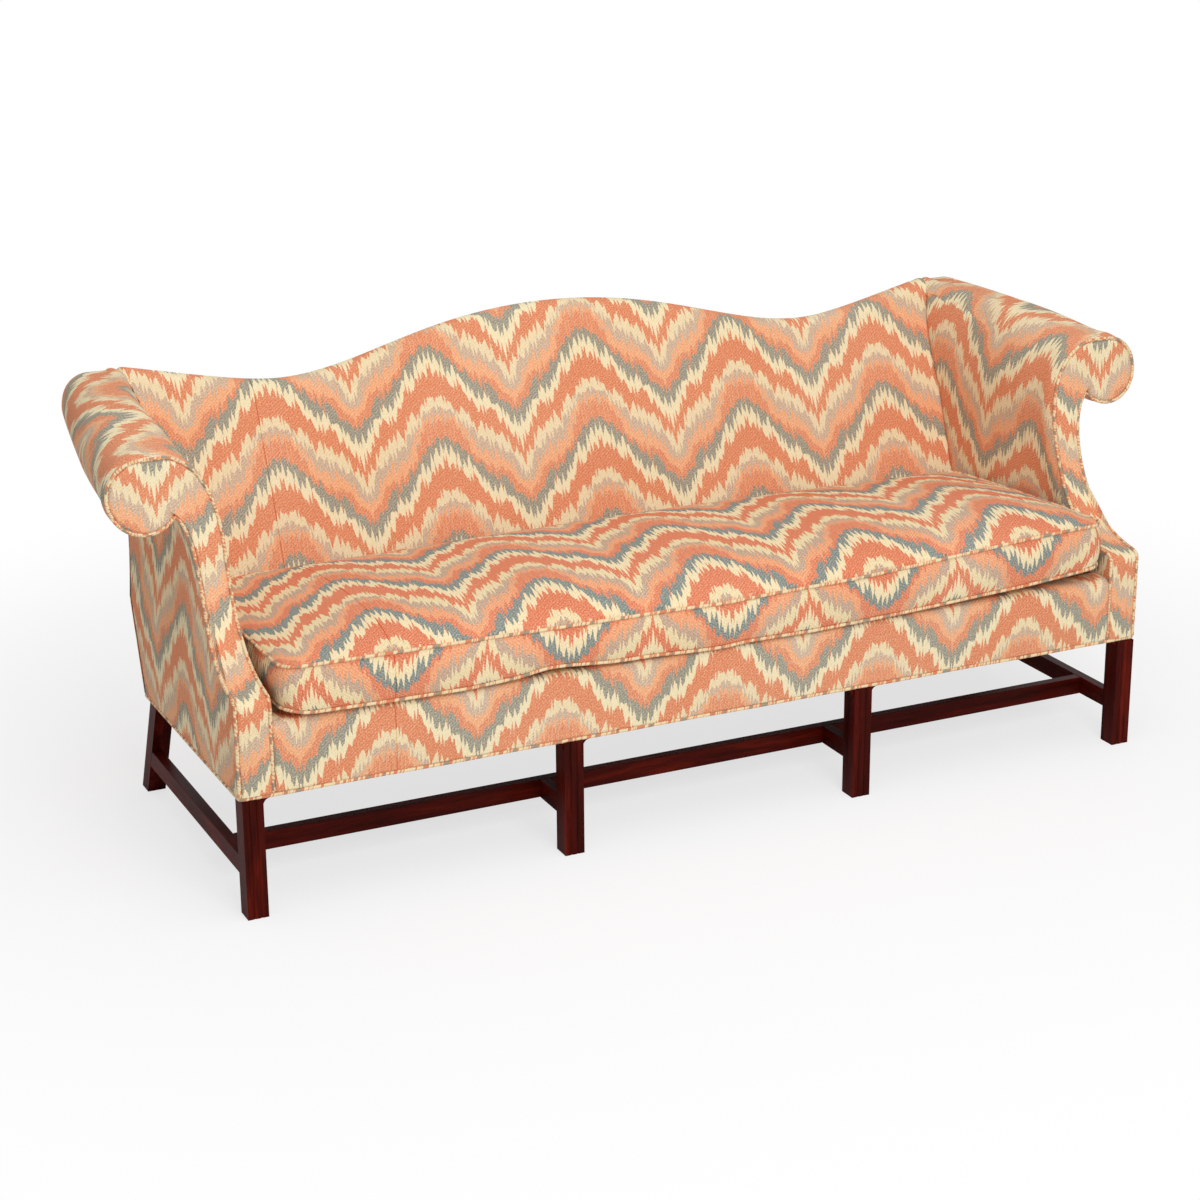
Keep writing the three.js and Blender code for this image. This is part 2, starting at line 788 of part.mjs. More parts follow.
function armRail(bottom, clearance) {
  const inner = armPadBack + gap;
  const outer = halfWidth - rearNeckPinch - armRailSlack;
  const top = bottom + armRailHeight;
  const rear = (z) => Math.min(postFrontY(z), frameFrontY(z)) - gap + clearance;
  const front = armFrontLine(armBehindBoard, coverBottom, armTop);
  const start = front.find(([, height]) => height >= top)[0];
  const [low, high] = [bottom - clearance, top + clearance];
  const outline = [[start, low], [rear(low), low], [rear(high), high], [start, high]];
  return across(outline, inner - clearance, outer + clearance);
}

// The outside back covers the whole rear, inside the padded edges of the crest and the rolls
function outsideBack(clearance) {
  const inset = topRailPadding - gap - clearance;
  const { shoulder, scroll } = armShape(1);
  const roll = insetLine([...shoulder, ...scroll.slice(1)], inset).slice(shoulder.length - 1, -1);
  const crest = crestPoints().map(([x, z]) => [x, z - inset]);
  const side = neckLine(1).slice(1).map(([x, z]) => [x + clearance, z]);
  const right = [...crest.slice(1), ...roll, ...side, [halfWidth + clearance, panelBottom - clearance]];
  const outline = [crest[0], ...right, ...flip(right)];
  const rear = outerY(coverBottom);
  return rakeBack(backward(outline.reverse(), rear - cover - clearance, rear + clearance));
}

addPair('arm_facing', armFacing(), flameStitch);
addPair('arm_facing_welt', facingWelt(), weltCloth);
addPair('arm_board', armBoard(0), timber);
addPair('arm_top_rail', armRail(armTopRailBottom, 0), timber);
addPair('arm_lower_rail', armRail(armTackRailBottom, 0), timber);
addPair('inside_arm', insideArm(), flameStitch);
addPair('outside_arm', outsideArm(), flameStitch);

// Back upholstery

// The padding's fullness fades out where the arms' pads begin
const bulgeEnd = innerEdge - armPadLean;

// The inside back at one distance from the centre: padded front, rounded crest, flat against the frame
function insideBackRing(x, crest) {
  const radius = crestThickness / 2;
  const shoulder = crest - radius;
  const front = [];
  const frontSteps = 6;
  for (let i = 0; i <= frontSteps; i += 1) {
    const z = mix(padBottom, shoulder, i / frontSteps);
    const fade = Math.max(0, 1 - (x / bulgeEnd) ** 4);
    front.push([innerY(z) - padBulge * fade * Math.sin(Math.PI * i / frontSteps), z]);
  }
  const over = [];
  const overSteps = 6;
  for (let i = 1; i < overSteps; i += 1) {
    const turn = Math.PI * (1 - i / overSteps);
    const z = shoulder + radius * Math.sin(turn);
    over.push([mix(innerY(z), outerY(z), (1 + Math.cos(turn)) / 2), z]);
  }
  const ring = [...front, ...over, [outerY(shoulder), shoulder], [outerY(padBottom), padBottom]];
  return ring.map(([y, z]) => new THREE.Vector3(x, y, z));
}

function insideBack() {
  const crest = crestPoints();
  const past = crest.findIndex(([x]) => x > bulgeEnd);
  const [before, after] = [crest[past - 1], crest[past]];
  const share = (bulgeEnd - before[0]) / (after[0] - before[0]);
  const right = [...crest.slice(0, past), [bulgeEnd, mix(before[1], after[1], share)], ...crest.slice(past)];
  const stations = [...right.slice(1).reverse().map(([x, z]) => [-x, z]), ...right];
  const low = coverBottom - overrun;
  const frameZone = behindBack((z) => frameFrontY(z) - gap, low, topRailBottom, -halfWidth, halfWidth);
  const pairs = [backPost(gap), armRail(armTopRailBottom, gap), armRail(armTackRailBottom, gap)];
  return cutAway(loft(stations.map(([x, z]) => insideBackRing(x, z))),
    frameZone, topRail(gap), outsideBack(gap), ...pairs, ...pairs.map(mirrored));
}

add('inside_back', insideBack(), flameStitch);
add('outside_back', outsideBack(0), flameStitch);

// Seat

// The covered front border turns over the front rail in a soft roll
function seatBorder() {
  const reach = innerEdge + weltSink - weltRadius - gap;
  const roll = bezier([frontFace, borderHeight - borderRollRadius],
    [frontFace, borderHeight - borderRollRadius / 2],
    [frontFace + borderRollRadius / 2, borderHeight],
    [frontFace + borderRollRadius, borderHeight], 5);
  const outline = [
    [frontFace, panelBottom],
    ...roll,
    [frontFace + borderDepth, borderHeight],
    [frontFace + borderDepth, padBottom],
    [frontFace + cover, padBottom],
    [frontFace + cover, panelBottom],
  ];
  return across(outline.reverse(), -reach, reach);
}

function seatDeck() {
  const front = innerEdge - deckSideGap;
  const rear = front - armPadLean;
  const outline = [
    [-front, frontFace + borderDepth + gap],
    [front, frontFace + borderDepth + gap],
    [rear, innerY(padBottom) - gap],
    [-rear, innerY(padBottom) - gap],
  ];
  return upward(outline, padBottom, deckHeight);
}

// Webbing straps cross each other over the rails and are tacked down on them
function seatWebbing() {
  const low = webbingBottom;
  const high = webbingBottom + webbingThickness;
  const frontEnd = timberFace;
  const rearEnd = stumpFrontY(railTop) - gap;
  const straps = [];
  const count = Math.floor((cornerLegInner - webbingWidth) / webbingPitch);
  for (let i = -count; i <= count; i += 1) {
    const centre = i * webbingPitch;
    straps.push(block(centre - webbingWidth / 2, centre + webbingWidth / 2, frontEnd, rearEnd, low, high));
  }
  const middle = (frontEnd + rearEnd) / 2;
  for (const row of [-1, 0, 1]) {
    const centre = middle + row * longWebbingPitch;
    straps.push(block(-timberSide, timberSide, centre - webbingWidth / 2, centre + webbingWidth / 2, low, high));
  }
  return join(...straps);
}

function dustCover() {
  const side = timberSide;
  const rear = frameRearY(coverBottom);
  const sheet = block(-side, side, timberFace, rear, dustCoverBottom, dustCoverBottom + dustCoverThickness);
  const low = legHeight - overrun;
  const corner = block(cornerLegInner - gap, halfWidth, 0, legSide + gap, low, railTop);
  const middle = block(midLegSpread - legSide / 2 - gap, midLegSpread + legSide / 2 + gap,
    legSide - tongueThickness - gap, legSide + gap, low, railTop);
  const back = block(rearLegInner - gap, halfWidth, rear - rearLegDepth - gap, rear + overrun, low, railTop);
  return cutAway(sheet, ...[corner, middle, back].flatMap((piece) => [piece, mirrored(piece)]));
}

// The welt that finishes the cover's bottom edge, one loop round the whole base
function bottomWelt() {
  const side = halfWidth - weltSink;
  const front = frontFace + weltSink;
  const rear = outerY(coverBottom) - weltSink;
  const z = coverBottom + weltRadius;
  const loop = roundedRing(-side, side, front, rear, bottomWeltTurn);
  return cord(loop.map(([x, y]) => new THREE.Vector3(x, y, z)), weltRadius, 8, true);
}

// A rectangle in plan with round corners
const cornerSteps = 4;

function roundedRing(x0, x1, y0, y1, radius) {
  const corners = [
    [x1 - radius, y0 + radius, -90],
    [x1 - radius, y1 - radius, 0],
    [x0 + radius, y1 - radius, 90],
    [x0 + radius, y0 + radius, 180],
  ];
  return corners.flatMap(([x, y, start]) => Array.from({ length: cornerSteps + 1 }, (_, i) => {
    const turn = THREE.MathUtils.degToRad(start + 90 * i / cornerSteps);
    return [x + radius * Math.cos(turn), y + radius * Math.sin(turn)];
  }));
}

add('seat_border', seatBorder(), flameStitch);
add('seat_deck', seatDeck(), deckCloth);
add('seat_webbing', seatWebbing(), jute);
add('dust_cover', dustCover(), cambric);
add('bottom_welt', bottomWelt(), weltCloth);

// The loose cushion: crowned top and bottom panels, and a boxing that draws in between its two welts

const cushionSide = innerEdge - cushionSideGap;
const cushionRear = innerY(cushionBottom) - cushionRearGap;
const cushionLowSeam = cushionBottom + cushionBottomCrown;
const cushionHighSeam = cushionLowSeam + cushionBoxing;

// The cushion's plan, moved outwards by a distance, with points also along the straight sides
function cushionPlan(outset) {
  const ring = roundedRing(-cushionSide - outset, cushionSide + outset,
    frontFace - outset, cushionRear + outset, cushionCornerRadius + outset);
  const arcPoints = cornerSteps + 1;
  return [4, 12, 4, 12].flatMap((sideSteps, corner) => {
    const arc = ring.slice(corner * arcPoints, (corner + 1) * arcPoints);
    const from = arc.at(-1);
    const to = ring[(corner + 1) * arcPoints % ring.length];
    const side = Array.from({ length: sideSteps - 1 }, (_, i) => (i + 1) / sideSteps)
      .map((share) => [mix(from[0], to[0], share), mix(from[1], to[1], share)]);
    return [...arc, ...side];
  });
}

function cushion() {
  const middle = (frontFace + cushionRear) / 2;
  const halfDepth = (cushionRear - frontFace) / 2;
  const shrink = (share) => cushionPlan(0).map(([x, y]) => {
    const hold = Math.max(0, Math.abs(x) - (cushionSide - halfDepth)) / halfDepth;
    const spine = Math.sign(x) * Math.min(Math.abs(x), cushionSide - halfDepth);
    return [spine + Math.sign(x) * hold * halfDepth * share, middle + (y - middle) * share];
  });
  const panelShares = [0.14, 0.4, 0.66, 0.85, 0.96];
  const level = (points, z) => points.map(([x, y]) => new THREE.Vector3(x, y, z));
  const crown = (share) => 1 - share ** 4;
  const panel = (seam, direction, height) => panelShares.map(
    (share) => level(shrink(share), seam + direction * (seamDepth + height * crown(share))));
  const boxingMiddle = (cushionLowSeam + cushionHighSeam) / 2;
  const rings = [
    ...panel(cushionLowSeam, -1, cushionBottomCrown - seamDepth),
    level(cushionPlan(0), cushionLowSeam - seamDepth),
    level(cushionPlan(-seamDepth), cushionLowSeam),
    level(cushionPlan(0), cushionLowSeam + seamDepth),
    level(cushionPlan(-boxingDraw), boxingMiddle),
    level(cushionPlan(0), cushionHighSeam - seamDepth),
    level(cushionPlan(-seamDepth), cushionHighSeam),
    level(cushionPlan(0), cushionHighSeam + seamDepth),
    ...panel(cushionHighSeam, 1, cushionTopCrown - seamDepth).reverse(),
  ];
  return loft(rings);
}

function cushionWelt(seam) {
  const proudShare = 0.25;
  const sides = 6;
  const line = cushionPlan(weltRadius * proudShare).map(([x, y]) => new THREE.Vector3(x, y, seam));
  return cord(line, weltRadius, sides, true);
}

add('seat_cushion', cushion(), flameStitch);
add('cushion_bottom_welt', cushionWelt(cushionLowSeam), weltCloth);
add('cushion_top_welt', cushionWelt(cushionHighSeam), weltCloth);

// The origin is on the floor, under the middle of the sofa's overall box
sofa.updateMatrixWorld(true);
const reach = new THREE.Box3().setFromObject(sofa);
sofa.position.y = -(reach.min.y + reach.max.y) / 2;

export default sofa;
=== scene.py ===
# %% [markdown]
# # A camelback sofa in flame-stitch cloth
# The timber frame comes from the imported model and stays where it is. This file dresses it: padded cloth pieces
# stand in for the plain soft solids, and every piece of wood gets its finish. Everything is in metres, with X
# across the sofa, Y from front to back and Z up.

# %% Load the frame
import math

import bpy
import numpy as np
from mathutils import Matrix, Vector


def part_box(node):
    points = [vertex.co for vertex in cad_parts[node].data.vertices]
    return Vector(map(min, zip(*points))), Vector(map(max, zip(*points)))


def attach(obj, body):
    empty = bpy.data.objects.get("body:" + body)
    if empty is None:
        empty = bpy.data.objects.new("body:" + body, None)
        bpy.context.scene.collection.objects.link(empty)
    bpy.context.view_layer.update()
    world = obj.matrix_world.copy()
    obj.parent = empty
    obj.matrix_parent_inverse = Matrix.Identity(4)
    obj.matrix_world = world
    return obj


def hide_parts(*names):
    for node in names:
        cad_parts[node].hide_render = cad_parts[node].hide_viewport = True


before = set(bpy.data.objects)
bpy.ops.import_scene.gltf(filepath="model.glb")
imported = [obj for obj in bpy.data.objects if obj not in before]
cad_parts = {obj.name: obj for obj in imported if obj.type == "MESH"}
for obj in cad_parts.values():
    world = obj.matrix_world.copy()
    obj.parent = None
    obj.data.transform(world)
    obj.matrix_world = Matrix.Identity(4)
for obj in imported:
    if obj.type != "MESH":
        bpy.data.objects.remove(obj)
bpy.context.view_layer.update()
scene = bpy.context.scene
scene.view_settings.view_transform = "Standard"

# %% [markdown]
# The camera stands in front of the left end and looks down a little, at the height of a standing person. A long
# lens keeps the far end of the sofa from shrinking. Its place and turn were worked out from the corners of the
# legs, so a render lies over the photograph line for line.

# %% Camera
front_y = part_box("front_leg_outer_right")[0].y


def aim(yaw, pitch, roll):
    """Columns are the camera's right, up and back directions: a turn about Z, a tilt down, and a roll."""
    ahead = np.array([math.sin(yaw) * math.cos(pitch), math.cos(yaw) * math.cos(pitch), -math.sin(pitch)])
    right = np.array([math.cos(yaw), -math.sin(yaw), 0.0])
    up = np.cross(right, ahead)
    rolled_right = math.cos(roll) * right + math.sin(roll) * up
    rolled_up = -math.sin(roll) * right + math.cos(roll) * up
    return np.stack([rolled_right, rolled_up, -ahead], axis=1)


camera_data = bpy.data.cameras.new("camera")
camera_data.sensor_width = 36.0
camera_data.lens = 2627.3 / 1200 * 36
camera_data.shift_x = (600 - 602.8) / 1200
camera_data.shift_y = (596.3 - 600) / 1200
camera_data.clip_end = 60
camera = bpy.data.objects.new("camera", camera_data)
scene.collection.objects.link(camera)
scene.camera = camera
turn = Matrix(aim(math.radians(25.468), math.radians(18.732), math.radians(-0.399)).tolist()).to_4x4()
camera.matrix_world = Matrix.Translation((-2.3067, -4.2939 + front_y, 2.1388)) @ turn
print("lens", round(camera_data.lens, 1), "mm")

# %% [markdown]
# A plain soft studio: an even white surrounding does most of the work, one wide lamp from the upper right gives
# the rolls and folds their shape, and the floor is pale. The lamps are kept at a level where a colour comes out
# about as it is written.

# %% Light and floor
world = bpy.data.worlds.new("studio")
world.use_nodes = True
scene.world = world
world_nodes = world.node_tree
world_nodes.nodes.clear()
seen = world_nodes.nodes.new("ShaderNodeLightPath")
seen_or_glossy = world_nodes.nodes.new("ShaderNodeMath")
seen_or_glossy.operation = "MAXIMUM"
seen_or_reflected = world_nodes.nodes.new("ShaderNodeMath")
seen_or_reflected.operation = "MAXIMUM"
sky_level = world_nodes.nodes.new("ShaderNodeMapRange")
sky_level.inputs["To Min"].default_value = 0.45
sky_level.inputs["To Max"].default_value = 1.0
sky = world_nodes.nodes.new("ShaderNodeBackground")
sky.inputs["Color"].default_value = (1, 1, 1, 1)
sky_out = world_nodes.nodes.new("ShaderNodeOutputWorld")
world_nodes.links.new(seen.outputs["Is Camera Ray"], seen_or_glossy.inputs[0])
world_nodes.links.new(seen.outputs["Is Glossy Ray"], seen_or_glossy.inputs[1])
world_nodes.links.new(seen_or_glossy.outputs[0], seen_or_reflected.inputs[0])
world_nodes.links.new(seen.outputs["Is Transmission Ray"], seen_or_reflected.inputs[1])
world_nodes.links.new(seen_or_reflected.outputs[0], sky_level.inputs["Value"])
world_nodes.links.new(sky_level.outputs[0], sky.inputs["Strength"])
world_nodes.links.new(sky.outputs[0], sky_out.inputs["Surface"])


def soft_lamp(name, place, target, width, power):
    """A square area lamp that faces a point."""
    data = bpy.data.lights.new(name, "AREA")
    data.shape = "SQUARE"
    data.size = width
    data.energy = power
    lamp = bpy.data.objects.new(name, data)
    scene.collection.objects.link(lamp)
    lamp.location = place
    lamp.rotation_mode = "QUATERNION"
    lamp.rotation_quaternion = (Vector(target) - Vector(place)).to_track_quat("-Z", "Y")
    return lamp


soft_lamp("key", (-0.5, -4.7, 3.5), (-0.1, 0.2, 0.5), 2.4, 124)
soft_lamp("overhead", (-0.2, -1.2, 4.4), (0.0, 0.0, 0.4), 3.0, 56)


def floor_finish():
    """Pale floor: near the sofa its matt white shows the shadow, and further out it turns to a plain white glow."""
    material = bpy.data.materials.new("studio_floor")
    material.use_nodes = True
    tree = material.node_tree
    tree.nodes.clear()
    path = tree.nodes.new("ShaderNodeLightPath")
    place = tree.nodes.new("ShaderNodeTexCoord")
    reach = tree.nodes.new("ShaderNodeVectorMath")
    reach.operation = "LENGTH"
    fade = tree.nodes.new("ShaderNodeMapRange")
    fade.interpolation_type = "SMOOTHSTEP"
    fade.inputs["From Min"].default_value = 1.0
    fade.inputs["From Max"].default_value = 2.4
    fade.inputs["To Min"].default_value = 0.70
    fade.inputs["To Max"].default_value = 1.0
    share = tree.nodes.new("ShaderNodeMath")
    share.operation = "MULTIPLY"
    glow = tree.nodes.new("ShaderNodeEmission")
    matt = tree.nodes.new("ShaderNodeBsdfDiffuse")
    matt.inputs["Color"].default_value = (0.9, 0.9, 0.9, 1)
    both = tree.nodes.new("ShaderNodeMixShader")
    out = tree.nodes.new("ShaderNodeOutputMaterial")
    tree.links.new(place.outputs["Object"], reach.inputs[0])
    tree.links.new(reach.outputs["Value"], fade.inputs["Value"])
    tree.links.new(fade.outputs[0], share.inputs[0])
    tree.links.new(path.outputs["Is Camera Ray"], share.inputs[1])
    tree.links.new(share.outputs[0], both.inputs["Fac"])
    tree.links.new(matt.outputs[0], both.inputs[1])
    tree.links.new(glow.outputs[0], both.inputs[2])
    tree.links.new(both.outputs[0], out.inputs["Surface"])
    return material


floor_mesh = bpy.data.meshes.new("floor")
floor_mesh.from_pydata([(-14, -14, 0), (14, -14, 0), (14, 14, 0), (-14, 14, 0)], [], [(0, 1, 2, 3)])
floor = bpy.data.objects.new("floor", floor_mesh)
scene.collection.objects.link(floor)
floor.data.materials.append(floor_finish())

# %% [markdown]
# Finishes are built from nodes, but they are easier to read as sums. A `Shade` wraps one socket, so that
# `1 - mask` or `0.5 * wave + 0.5` adds the Math nodes by itself. Every other kind of node comes from
# `Finish.node`, which sets the node's own settings first and then fills or links its sockets.

# %% Node helpers
def linear(colour):
    """An sRGB colour, 0 to 255, as the linear numbers that Blender keeps."""
    share = np.array(colour) / 255
    flat = np.where(share <= 0.04045, share / 12.92, ((share + 0.055) / 1.055) ** 2.4)
    return (*flat.tolist(), 1.0)


class Shade:
    """One socket whose value varies over a surface."""

    def __init__(self, finish, socket):
        self.finish = finish
        self.socket = socket

    def math(self, operation, *others):
        return self.finish.node("ShaderNodeMath", {"operation": operation}, dict(enumerate([self, *others])))

    def __add__(self, other):
        return self.math("ADD", other)

    def __radd__(self, other):
        return self.math("ADD", other)

    def __sub__(self, other):
        return self.math("SUBTRACT", other)

    def __rsub__(self, other):
        return self.finish.node("ShaderNodeMath", {"operation": "SUBTRACT"}, {0: other, 1: self})

    def __mul__(self, other):
        return self.math("MULTIPLY", other)

    def __rmul__(self, other):
        return self.math("MULTIPLY", other)

    def __truediv__(self, other):
        return self.math("DIVIDE", other)

    def __pow__(self, other):
        return self.math("POWER", other)

    def __lt__(self, other):
        return self.math("LESS_THAN", other)

    def __gt__(self, other):
        return self.math("GREATER_THAN", other)


class Finish:
    """A material under construction."""

    def __init__(self, name):
        self.material = bpy.data.materials.new(name)
        self.material.use_nodes = True
        self.tree = self.material.node_tree
        self.tree.nodes.clear()

    def node(self, kind, settings=None, sockets=None, output=0):
        made = self.tree.nodes.new(kind)
        for name, value in (settings or {}).items():
            if name == "stops":
                self.set_stops(made.color_ramp, value)
            elif name == "curve":
                self.set_curve(made.mapping, value)
            else:
                setattr(made, name, value)
        for name, value in (sockets or {}).items():
            if isinstance(value, Shade):
                self.tree.links.new(value.socket, made.inputs[name])
            else:
                made.inputs[name].default_value = value
        return Shade(self, made.outputs[output])

    def set_stops(self, ramp, stops):
        while len(ramp.elements) < len(stops):
            ramp.elements.new(0.5)
        for element, (place, colour) in zip(ramp.elements, stops):
            element.position = place
            element.color = colour

    def set_curve(self, mapping, points):
        curve = mapping.curves[0]
        while len(curve.points) < len(points):
            curve.points.new(0.5, 0.5)
        for point, (across, height) in zip(curve.points, points):
            point.location = (across, height)
            point.handle_type = "VECTOR"
        mapping.update()

    def blend(self, factor, low, high, way="MIX"):
        """Colours low and high, mixed by a factor."""
        made = self.tree.nodes.new("ShaderNodeMix")
        made.data_type = "RGBA"
        made.blend_type = way
        for place, value in ((0, factor), (6, low), (7, high)):
            if isinstance(value, Shade):
                self.tree.links.new(value.socket, made.inputs[place])
            else:
                made.inputs[place].default_value = value
        return Shade(self, made.outputs[2])

    def apart(self, vector):
        """A vector's two or three numbers, each on its own."""
        made = self.tree.nodes.new("ShaderNodeSeparateXYZ")
        self.tree.links.new(vector.socket, made.inputs[0])
        return [Shade(self, output) for output in made.outputs]

    def done(self, **sockets):
        """Closes the material with one Principled shader, whose sockets are named with underscores."""
        named = {name.replace("_", " "): value for name, value in sockets.items()}
        shader = self.node("ShaderNodeBsdfPrincipled", sockets=named)
        self.node("ShaderNodeOutputMaterial", sockets={"Surface": shader}, output=0) if False else None
        out = self.tree.nodes.new("ShaderNodeOutputMaterial")
        self.tree.links.new(shader.socket, out.inputs["Surface"])
        return self.material


print("node helpers ready")
# %% [markdown]
# The cloth is a flame stitch: bands of colour that climb and fall in peaks, each edge broken into little steps by
# the columns of stitches. The pattern repeats every 362 mm across and 200 mm up the cloth, and is the same on
# both sides of each peak. So each band needs only one curve, its fall below the repeat's top over the distance
# from the peak. Whichever edge lies nearest above a point gives its colour.

# %% Flame-stitch cloth
repeat_width = 0.362
repeat_height = 0.200
curve_reach = 0.34

# Distance from the peak and fall below the repeat's top, both in millimetres
band_edges = {
    "grey": [(0, 13), (12, 13), (22, 22), (32, 33), (36, 40), (51, 51), (61, 60), (66, 73), (71, 78), (89, 90),
             (94, 100), (107, 106), (124, 110), (132, 116), (139, 124), (142, 136),
             (147, 150), (166, 152), (176, 160), (181, 163)],
    "cream": [(0, 33), (6, 36), (12, 43), (16, 36), (22, 51), (32, 60), (37, 68), (46, 78), (51, 68), (62, 87),
              (69, 96), (76, 105), (86, 118), (91, 132), (101, 136), (109, 139), (119, 138), (124, 146),
              (136, 163), (146, 166), (159, 177), (169, 185), (181, 193)],
    "coral": [(0, 60), (4, 60), (5, 82), (12, 77), (26, 78), (32, 87), (37, 100), (46, 114), (51, 103), (66, 105),
              (69, 120), (71, 132), (79, 144), (84, 149), (94, 156), (101, 164), (109, 166),
              (129, 171), (136, 181), (142, 192), (148, 200), (164, 222), (181, 228)],
    "lower cream": [(0, 120), (12, 128), (26, 138), (36, 149), (41, 163), (66, 166), (69, 182), (79, 188),
                    (82, 200), (116, 205), (126, 222), (139, 224), (147, 236), (152, 247), (172, 254),
                    (177, 268), (181, 272)],
    "mauve": [(0, 146), (16, 154), (32, 160), (42, 168), (46, 177), (69, 200), (82, 218), (91, 222), (99, 227),
              (109, 240), (116, 242), (129, 247), (136, 254), (154, 265), (164, 278), (166, 287), (181, 301)],
    "peach": [(0, 165), (22, 168), (32, 174), (46, 185), (56, 200), (69, 222), (72, 238), (89, 254), (102, 267),
              (119, 265), (136, 274), (139, 285), (156, 295), (158, 309), (181, 316)],
    "upper coral": [(0, 176), (12, 176), (32, 183), (39, 196), (42, 200), (51, 222), (59, 229), (62, 251),
                    (67, 262), (86, 276), (92, 285), (107, 291), (129, 297), (142, 305),
                    (147, 313), (149, 324), (172, 335), (181, 339)],
}
cloth_colours = {
    "grey": (162, 156, 138),
    "cream": (240, 224, 184),
    "coral": (225, 145, 106),
    "lower cream": (236, 216, 176),
    "mauve": (208, 180, 154),
    "peach": (239, 176, 132),
    "upper coral": (227, 150, 112),
}
cushion_colours = {
    "grey": (140, 146, 138),
    "cream": (240, 220, 178),
    "coral": (223, 134, 99),
    "lower cream": (234, 214, 170),
    "mauve": (198, 168, 144),
    "peach": (237, 166, 123),
    "upper coral": (225, 138, 103),
}


tooth_pitch = 0.0118
tooth_height = {"grey": 0.022, "cream": 0.026, "coral": 0.028, "lower cream": 0.026, "mauve": 0.023,
                "peach": 0.022, "upper coral": 0.019}


cloth_join = -0.690
valley_start, valley_depth = 0.84, 0.017


def flame_cloth(name, colours):
    """Woven flame stitch. The colour is that of the band edge nearest above a point: for every edge the fall from
    it, in repeats, is fraction((-v - curve - valley - step) / repeat height), with curve a function of the distance from a peak.
    A thin dark line at x = cloth_join is the seam between two widths of cloth.
    Steps make the flames: pointed teeth |fraction - 1/2|, each with a height of its own, on edges that wander."""
    finish = Finish(name)
    across, up, _ = finish.apart(finish.node("ShaderNodeUVMap", {"uv_map": "cloth"}))
    turns = (across / repeat_width + 0.5).math("FRACT") - 0.5
    from_peak = turns.math("ABSOLUTE") * 2
    stitch = from_peak * (repeat_width / 2)
    valley = (from_peak - valley_start).math("MAXIMUM", 0.0) * (valley_depth / (1 - valley_start))
    ragged = finish.node("ShaderNodeTexNoise", {"noise_dimensions": "2D"}, {
        "Vector": finish.node("ShaderNodeCombineXYZ", sockets={0: across, 1: up * 0.35}),
        "Scale": 260.0, "Detail": 1.0})
    nearest = None
    colour = None
    for place, (band, points) in enumerate(band_edges.items()):
        line = [(x / 181, fall / 1000 / curve_reach) for x, fall in points]
        curve = finish.node("ShaderNodeFloatCurve", {"curve": line}, {"Value": from_peak})
        drift = finish.node("ShaderNodeTexNoise", {"noise_dimensions": "1D"}, {
            "W": stitch + 0.731 * place, "Scale": 60.0, "Detail": 0.0})
        tooth = stitch / tooth_pitch + drift * 1.1 + 0.37 * place
        chance = finish.node("ShaderNodeTexWhiteNoise", {"noise_dimensions": "1D"},
                             {"W": tooth.math("FLOOR") + 37.7 * (place + 1)})
        wander = finish.node("ShaderNodeTexNoise", {"noise_dimensions": "1D"}, {
            "W": stitch + 1.913 * place, "Scale": 70.0, "Detail": 2.0})
        saw = (tooth.math("FRACT") - 0.5).math("ABSOLUTE") * 2
        step = (((saw - 0.5) * (chance * 1.1 + 0.25) + (wander - 0.5) * 1.2) * tooth_height[band]
                + (ragged - 0.5) * 0.012)
        fall = ((up * -1 - curve * curve_reach - valley - step) / repeat_height).math("FRACT")
        tint = linear(colours[band])
        if nearest is None:
            nearest, colour = fall, tint
        else:
            closer = fall < nearest
            colour = finish.blend(closer, colour, tint)
            nearest = nearest.math("MINIMUM", fall)
    twill = ((across * 0.62 - up * 0.78) * (2 * math.pi / 0.0056)).math("SINE")
    ribs = (across * (2 * math.pi / 0.0031)).math("SINE")
    yarn = finish.node("ShaderNodeTexNoise", {"noise_dimensions": "2D"}, {
        "Vector": finish.node("ShaderNodeCombineXYZ", sockets={0: across, 1: up}), "Scale": 330.0, "Detail": 3.0})
    wear = finish.node("ShaderNodeTexNoise", {"noise_dimensions": "3D"}, {
        "Vector": finish.node("ShaderNodeTexCoord", output=3), "Scale": 3.1, "Detail": 2.0})
    along_sofa, _, _ = finish.apart(finish.node("ShaderNodeTexCoord", output=3))
    join = (along_sofa - cloth_join).math("ABSOLUTE").math("LESS_THAN", 0.0009)
    depth = 1 - (twill * 0.09 + (yarn - 0.5) * 1.7 + (wear - 0.5) * 0.25) + join * 0.8
    colour = finish.node("ShaderNodeGamma", sockets={"Color": colour, "Gamma": depth})
    relief = twill * 0.5 + ribs * 0.25 + yarn
    bump = finish.node("ShaderNodeBump", sockets={"Height": relief, "Strength": 0.35, "Distance": 0.0012})
    return finish.done(Base_Color=colour, Roughness=0.95, Normal=bump, Specular_IOR_Level=0.12)


frame_cloth = flame_cloth("flame_cloth", cloth_colours)
cushion_cloth = flame_cloth("flame_cloth_cushion", cushion_colours)
print("flame-stitch cloth with", len(band_edges), "bands")

# %% [markdown]
# Welts are cords wrapped in strips of the same cloth, cut on the slant. A strip only shows short dashes of the
# bands it crosses, so its colour steps along the cord, slanted a little round it.

